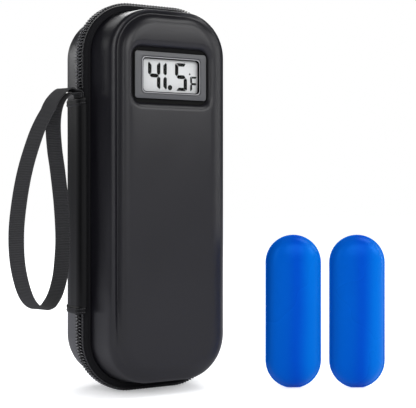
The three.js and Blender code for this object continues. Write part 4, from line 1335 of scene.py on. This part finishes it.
for half in ("front", "rear"):
    makeLayer("foam", "insulation", half, foamBoard)
for half in ("front", "rear"):
    makeLayer("foil", "lining", half, liningFoil)
print("insulation and lining made")


# Elastic pen band in the rear half: a strip and three arches over the pens, standing along Z
penBand = {
    "low": 118, "high": 143, "back": 25.9, "spacing": 18.4, "half": 9.0, "thickness": 0.9, "reach": 27.9,
    "foot": 0.15, "sides": (0.6, 2.5, 5.0, 7.5), "rise": 15.5,
    "archGap": 1.5, "archSteps": 24, "archRows": 20,
    "stripGap": 0.5, "stripReach": 28, "stripStep": 2, "stripRows": 16,
}


def standingRibbon(name, path, rows):
    low, high = penBand["low"], penBand["high"]
    mesh = bmesh.new()
    travelled = [0]
    for a, b in zip(path, path[1:]):
        travelled.append(travelled[-1] + (Vector(b) - Vector(a)).length)
    grid = []
    for row in range(rows + 1):
        z = low + (high - low) * row / rows
        grid.append([mesh.verts.new((x * mm, y * mm, z * mm)) for x, y in path])
    joinRows(mesh, grid, False, lambda column, row: ((high - low) * row / rows, travelled[column]))
    ribbon = pieceFrom(name, mesh)
    addModifier(ribbon, "SOLIDIFY", thickness=penBand["thickness"] * mm, offset=0)
    return ribbon


def penPath():
    # Flat between the loops, and up and over each pen
    half, sides, steps = penBand["half"], penBand["sides"], penBand["archSteps"]
    path = [(-penBand["reach"], 0)]
    for number in (-1, 0, 1):
        middle = number * penBand["spacing"]
        path.append((middle - half - penBand["foot"], 0))
        path += [(middle - half, h) for h in sides]
        for step in range(1, steps):
            angle = math.pi - math.pi * step / steps
            rise = sides[-1] + (penBand["rise"] - sides[-1]) * math.sin(angle)
            path.append((middle + half * math.cos(angle), rise))
        path += [(middle + half, h) for h in reversed(sides)]
    path.append((penBand["reach"], 0))
    return [(x, penBand["back"] - penBand["archGap"] - h) for x, h in path]


def makePenBand():
    arches = standingRibbon("pen_arches", penPath(), penBand["archRows"])
    reach = penBand["stripReach"]
    places = range(-reach, reach + 1, penBand["stripStep"])
    flat = [(x, penBand["back"] - penBand["stripGap"]) for x in places]
    strip = standingRibbon("pen_band_elastic", flat, penBand["stripRows"])
    joinParts(strip, arches)
    smoothBy(strip, 50)
    finishWith(strip, elasticBand, "base", ["pen_band"])


# Net pocket for the gel packs in the lid
pocket = {
    "half": 33.6, "bottom": 13.0, "top": 104, "radius": 20.3, "depth": 9.0,
    "cell": 2.4, "yarn": 0.42, "sag": 0.12, "sagRate": 2.1,
    "binding": {"wide": 3.2, "before": 0.7, "behind": 0.35},
    "hem": {"tall": 5.0, "before": 1.1, "behind": 0.4},
    "seam": {"low": (-0.8, -22.3, 21.3), "high": (0.8, -9.2, 101.0)},
}


def pocketEdge(steps=14):
    half, bottom, radius = pocket["half"], pocket["bottom"], pocket["radius"]
    points = [(-half, pocket["top"])]
    for centreX, start in ((-half + radius, math.pi), (half - radius, 1.5 * math.pi)):
        for step in range(steps + 1):
            angle = start + math.pi / 2 * step / steps
            points.append((centreX + radius * math.cos(angle), bottom + radius + radius * math.sin(angle)))
    points.append((half, pocket["top"]))
    return points


def insidePocket(x, z):
    half, low, radius = pocket["half"], pocket["bottom"] + pocket["radius"], pocket["radius"]
    if z >= low:
        return abs(x) <= half
    overX = max(0, abs(x) - (half - radius))
    return overX * overX + (low - z) ** 2 <= radius * radius


def makePocketNet():
    deselectAll()
    wide, tall = 2 * pocket["half"], pocket["top"] - pocket["bottom"]
    bpy.ops.mesh.primitive_grid_add(
        x_subdivisions=int(wide / pocket["cell"]),
        y_subdivisions=int(tall / pocket["cell"]),
        size=1,
        location=(0, -pocket["depth"] * mm, (pocket["bottom"] + tall / 2) * mm),
        rotation=(math.pi / 2, 0, 0),
    )
    net = bpy.context.object
    net.name = "pack_pocket_net"
    net.scale = (wide * mm, tall * mm, 1)
    applyPlace(net)
    editAll()
    bpy.ops.mesh.poke()
    bpy.ops.mesh.select_all(action="DESELECT")
    objectMode()
    for vertex in net.data.vertices:
        column = (vertex.co.x / mm + pocket["half"]) / pocket["cell"]
        vertex.select = not insidePocket(vertex.co.x / mm, vertex.co.z / mm)
        vertex.co.y += pocket["sag"] * mm * math.sin(column * pocket["sagRate"])
    editMode("VERT")
    bpy.ops.mesh.delete(type="VERT")
    objectMode()
    addModifier(net, "WIREFRAME", thickness=pocket["yarn"] * mm, use_even_offset=False)
    return net


def makePocket():
    net, edge = makePocketNet(), pocketEdge()
    half, top, depth = pocket["half"], pocket["top"], -pocket["depth"]
    binding, hem, seam = pocket["binding"], pocket["hem"], pocket["seam"]
    before, behind = depth - binding["before"], depth + binding["behind"]
    outline = []
    for number, (x, z) in enumerate(edge):
        last, after = edge[max(0, number - 1)], edge[min(len(edge) - 1, number + 1)]
        way = Vector((after[0] - last[0], after[1] - last[1])).normalized() * binding["wide"]
        inX, inZ = x - way.y, z + way.x
        outline.append([(x, before, z), (x, behind, z), (inX, behind, inZ), (inX, before, inZ)])
    hemLow = (-half, depth - hem["before"], top - hem["tall"])
    parts = [
        loftLoops("pocket_binding", outline),
        boxPiece("pocket_hem", hemLow, (half, depth + hem["behind"], top), 0.5, 3),
        boxPiece("pocket_seam", seam["low"], seam["high"], 0.3),
    ]
    joinParts(net, *parts)
    smoothBy(net, 35)
    finishWith(net, netYarn, "lid", ["pack_pocket"])


makePenBand()
makePocket()
print("pen band and pocket made")


# Zip sliders and pulls on the right side
slider = {
    "heights": {"upper": 132, "lower": 108}, "inner": 46.8, "half": 5.1, "length": 12, "corner": 1.3,
    "noseHalfShare": 0.62, "shoulderShare": 0.3,
    "layers": [(0, 0.25), (0.2, 0), (0.85, 0), (1.1, 0.2), (1.2, 0.6)],
    "lip": {"low": (44.9, 5.05), "high": (47.4, 5.85), "half": 4.8},
    "bridge": {
        "base": 47.65, "rise": 2.6, "half": 3.7, "width": 2.0, "thick": 0.45, "steps": 12, "crown": 0.6,
    },
}
pull = {
    "pivot": 49.05, "length": 15.5, "wide": 6.4, "thick": 1.3, "bar": 0.65, "corner": 0.7,
    "waist": (0.86, 0.45),
    "eye": (1.3, 6), "layers": [(0, 0.35), (0.12, 0.1), (0.35, 0), (0.95, 0), (1.18, 0.1), (1.3, 0.35)],
    "grips": (9.0, 10.4, 11.8), "gripHalf": (1.8, 0.35), "gripFrom": 1.08, "overrun": 1,
}


def sidePlate(name, outline, start, steps):
    # A plate facing right, from places across and up: each step is a rise and how far it is drawn in
    loops = []
    centre = Vector((sum(p[0] for p in outline), sum(p[1] for p in outline))) / len(outline)
    for rise, drawIn in steps:
        loop = []
        for y, z in outline:
            way = (centre - Vector((y, z))).normalized() * drawIn
            loop.append((start + rise, y + way.x, z + way.y))
        loops.append(loop)
    return loftLoops(name, loops)


def roundedOutline(corners, radius, steps=5):
    # A flat outline with each corner rounded
    points = []
    for number, corner in enumerate(corners):
        before, after = Vector(corners[number - 1]), Vector(corners[(number + 1) % len(corners)])
        here = Vector(corner)
        into = (before - here).normalized()
        away = (after - here).normalized()
        for step in range(steps + 1):
            share = step / steps
            a = here + into * radius * (1 - share)
            b = here + away * radius * share
            points.append(tuple(a * (1 - share) + b * share))
    return points


def makeBridge(height):
    # The arch that holds the pull, bent up from a flat bar with cut edges
    bridge = slider["bridge"]
    steps, w = bridge["steps"], bridge["width"] / 2
    path = []
    for step in range(steps + 1):
        angle = math.pi * step / steps
        lift = math.sin(angle) ** bridge["crown"] * bridge["rise"]
        path.append((bridge["base"] + lift, height - math.cos(angle) * bridge["half"]))
    loops = []
    for number, (x, z) in enumerate(path):
        before, after = path[max(0, number - 1)], path[min(steps, number + 1)]
        way = Vector((after[0] - before[0], after[1] - before[1])).normalized()
        out = Vector((-way.y, way.x)) * bridge["thick"]
        section = [(1, -0.8), (1, 0.8), (0.4, 1), (-0.4, 1), (-1, 0.8), (-1, -0.8), (-0.4, -1), (0.4, -1)]
        loops.append([(x + out.x * t, w * across, z + out.y * t) for t, across in section])
    return loftLoops("bridge", loops)


def makeSlider(name):
    height = slider["heights"][name]
    half, long = slider["half"], slider["length"] / 2
    nose, shoulder = half * slider["noseHalfShare"], long * slider["shoulderShare"]
    way = 1 if name == "upper" else -1
    right = [(half, -long), (half, shoulder), (nose, long)]
    corners = right + [(-y, z) for y, z in reversed(right)]
    outline = [(y, height + way * z) for y, z in roundedOutline(corners, slider["corner"])]
    body = sidePlate(name + "_slider_body", outline, slider["inner"], slider["layers"])
    low, high, reach = slider["lip"]["low"], slider["lip"]["high"], slider["lip"]["half"]
    lip = boxPiece("lip", (*low, height - reach), (*high, height + reach), 0.3)
    joinParts(body, lip, makeBridge(height))
    smoothBy(body, 35)
    finishWith(body, sliderEnamel, name + "_slider", [name + "_slider"])


def pullOutline():
    half, bar, corner, length = pull["wide"] / 2, pull["bar"], pull["corner"], pull["length"]
    waist = (half * pull["waist"][0], -length * pull["waist"][1])
    right = [(half, half - length), waist, (half, bar - corner), (half - corner, bar)]
    left = [(-y, z) for y, z in reversed(right)]
    ways = [math.pi + math.pi * step / 16 for step in range(1, 16)]
    return left + [(half * math.cos(w), half - length + half * math.sin(w)) for w in ways] + right


def makePull(name):
    height = slider["heights"][name]
    start = pull["pivot"] - pull["thick"] / 2
    tab = sidePlate(name + "_pull_tab", [(y, height + z) for y, z in pullOutline()], start, pull["layers"])
    eyeHalf, eyeLow = pull["eye"]
    before, behind = start - pull["overrun"], start + pull["thick"] + pull["overrun"]
    eyeHigh = (behind, eyeHalf, height - pull["bar"])
    eye = boxPiece("eye", (before, -eyeHalf, height - eyeLow), eyeHigh, 0.4, 3)
    wide, tall = pull["gripHalf"]
    grips = []
    for down in pull["grips"]:
        low = (start + pull["gripFrom"], -wide, height - down - tall)
        grips.append(boxPiece("grip", low, (behind, wide, height - down + tall), 0.1))
    cutWith(tab, eye, *grips)
    smoothBy(tab, 35)
    finishWith(tab, sliderEnamel, name + "_pull", [name + "_pull"])


for sliderName in ("upper", "lower"):
    makeSlider(sliderName)
    makePull(sliderName)
print("sliders made")


# Gel packs: hard skins with a welded rim, standing on the floor and turned to the camera
gelPack = {
    "size": (33.6, 92.5), "turn": -30, "footCut": 0.5, "paintedBandMiddle": 0.42, "paintedBandReach": 0.46,
    "profile": [
        (0, 0.45), (0.3, 0.55), (0.8, 0.62), (1.15, 1.05), (1.7, 1.7), (2.4, 2.35), (3.2, 2.95),
        (4.2, 3.5), (5.4, 4.0), (6.8, 4.42), (8.4, 4.8), (10.2, 5.13), (12.0, 5.38), (13.8, 5.57),
        (15.4, 5.69), (16.4, 5.74),
    ],
    "places": {"left": (75.3, -43.5), "right": (108.6, -62.8)},
}


def capsuleLoop(wide, tall, inset, depth, steps=28):
    # A standing capsule outline, drawn in by inset, at a depth towards the front
    outer = wide / 2
    radius = outer - inset
    loop = []
    for centre, start in ((tall - outer, 0), (outer, math.pi)):
        for step in range(steps + 1):
            angle = start + math.pi * step / steps
            loop.append((radius * math.cos(angle), -depth, centre + radius * math.sin(angle)))
    return loop


def makeGelPack(side):
    wide, tall = gelPack["size"]
    profile = gelPack["profile"]
    front = [capsuleLoop(wide, tall, inset, depth) for inset, depth in reversed(profile)]
    rear = [capsuleLoop(wide, tall, inset, -depth) for inset, depth in profile]
    pack = loftLoops("gel_pack_" + side + "_skin", front + rear)
    # Each vertex's place across the pack picks its painted shade or highlight band
    across = pack.data.attributes.new("across", "FLOAT", "POINT")
    for vertex, entry in zip(pack.data.vertices, across.data):
        entry.value = gelPack["paintedBandMiddle"] + gelPack["paintedBandReach"] * vertex.co.x / (wide * mm / 2)
    x, y = gelPack["places"][side]
    pack.rotation_euler = (0, 0, math.radians(gelPack["turn"]))
    pack.location = (x * mm, y * mm, -gelPack["footCut"] * mm)
    applyPlace(pack)
    editAll()
    bpy.ops.mesh.bisect(plane_co=(0, 0, 0), plane_no=(0, 0, -1), use_fill=True, clear_outer=True)
    objectMode()
    smoothBy(pack, 40)
    finishWith(pack, gelPlastic, side + "_pack", ["gel_pack_" + side])


makeGelPack("left")
makeGelPack("right")
print("gel packs made")


# Stage: a pale floor and a white surround. In reflections both are dim, as under a studio's black cards
stage = {
    "floorSize": 6, "floorDrop": 0.0003,
    "floorColor": (0.93, 0.93, 0.94), "floorMirrored": (0.6, 0.6, 0.65, 1),
    "glow": (0.98, 0.99, 1, 1), "glowStrength": 0.32,
    "light": ((0.98, 0.99, 1, 1), 0.75), "mirrored": ((0.9, 0.94, 1, 1), 0.06), "seen": ((1, 1, 1, 1), 1),
}


def makeFloor():
    deselectAll()
    bpy.ops.mesh.primitive_plane_add(size=stage["floorSize"], location=(0, 0, -stage["floorDrop"]))
    floor = bpy.context.object
    floor.name = "floor"
    material, shader = newMaterial("floorPaper", stage["floorColor"], 1.0, specular=0)
    dim = addNode(material, "ShaderNodeBsdfDiffuse")
    dim.inputs["Color"].default_value = stage["floorMirrored"]
    path = addNode(material, "ShaderNodeLightPath")
    mix = addNode(material, "ShaderNodeMixShader")
    joinNodes(material, path.outputs["Is Glossy Ray"], mix.inputs["Fac"])
    joinNodes(material, shader.outputs[0], mix.inputs[1])
    joinNodes(material, dim.outputs[0], mix.inputs[2])
    # The camera sees white paper that glows a little, and keeps the case's shadow
    glow = addNode(material, "ShaderNodeEmission")
    glow.inputs["Color"].default_value = stage["glow"]
    strength = addNode(material, "ShaderNodeMath", operation="MULTIPLY")
    strength.inputs[1].default_value = stage["glowStrength"]
    joinNodes(material, path.outputs["Is Camera Ray"], strength.inputs[0])
    joinNodes(material, strength.outputs[0], glow.inputs["Strength"])
    both = addNode(material, "ShaderNodeAddShader")
    joinNodes(material, mix.outputs[0], both.inputs[0])
    joinNodes(material, glow.outputs[0], both.inputs[1])
    joinNodes(material, both.outputs[0], material.node_tree.nodes["Material Output"].inputs["Surface"])
    floor.data.materials.append(material)


def makeSurround():
    world = bpy.data.worlds.new("surround")
    bpy.context.scene.world = world
    world.use_nodes = True
    nodes, links = world.node_tree.nodes, world.node_tree.links
    light = nodes["Background"]
    mirrored = nodes.new("ShaderNodeBackground")
    seen = nodes.new("ShaderNodeBackground")
    for node, key in ((light, "light"), (mirrored, "mirrored"), (seen, "seen")):
        node.inputs["Color"].default_value, node.inputs["Strength"].default_value = stage[key]
    path = nodes.new("ShaderNodeLightPath")
    glossyMix = nodes.new("ShaderNodeMixShader")
    mix = nodes.new("ShaderNodeMixShader")
    links.new(path.outputs["Is Glossy Ray"], glossyMix.inputs["Fac"])
    links.new(light.outputs[0], glossyMix.inputs[1])
    links.new(mirrored.outputs[0], glossyMix.inputs[2])
    links.new(path.outputs["Is Camera Ray"], mix.inputs["Fac"])
    links.new(glossyMix.outputs[0], mix.inputs[1])
    links.new(seen.outputs[0], mix.inputs[2])
    links.new(mix.outputs[0], nodes["World Output"].inputs["Surface"])


# Each lamp has a place, what it faces, its size and its power
lamps = {
    "rightBox": ((0.58, -1.1, 0.64), (0, 0, 0.14), (0.62, 0.42), 4.1),
    "rearBox": ((-0.06, 0.9, 0.98), (-0.03, 0, 0.2), (0.6, 0.3), 0.9),
    "rearStrip": ((-0.5, 1.0, 0.45), (-0.04, 0, 0.2), (0.14, 0.3), 1.1),
    "leftStrip": ((-0.95, -0.5, 0.45), (0, 0, 0.12), (0.1, 0.7), 1.4),
    "leftFrontBox": ((-0.38, -1.14, 0.6), (0, 0, 0.15), (0.8, 0.5), 5.2),
    "rightStrip": ((1.0, -0.42, 0.4), (0, 0, 0.14), (0.12, 0.7), 1.35),
    "topBox": ((0.42, -0.45, 1.05), (0, -0.02, 0.2), (0.5, 0.5), 2.6),
    "backBox": ((0.6, 0.97, 0.9), (0, 0, 0.21), (0.9, 0.4), 7),
}


def addSoftbox(name, place, target, size, power):
    data = bpy.data.lights.new(name, "AREA")
    data.shape = "RECTANGLE"
    data.size, data.size_y = size
    data.energy = power
    lamp = bpy.data.objects.new(name, data)
    lamp.location = place
    lamp.rotation_euler = (Vector(target) - Vector(place)).to_track_quat("-Z", "Y").to_euler()
    bpy.context.scene.collection.objects.link(lamp)


makeFloor()
makeSurround()
for lampName, settings in lamps.items():
    addSoftbox(lampName, *settings)
bpy.context.scene.view_settings.view_transform = "Standard"
print("stage set")
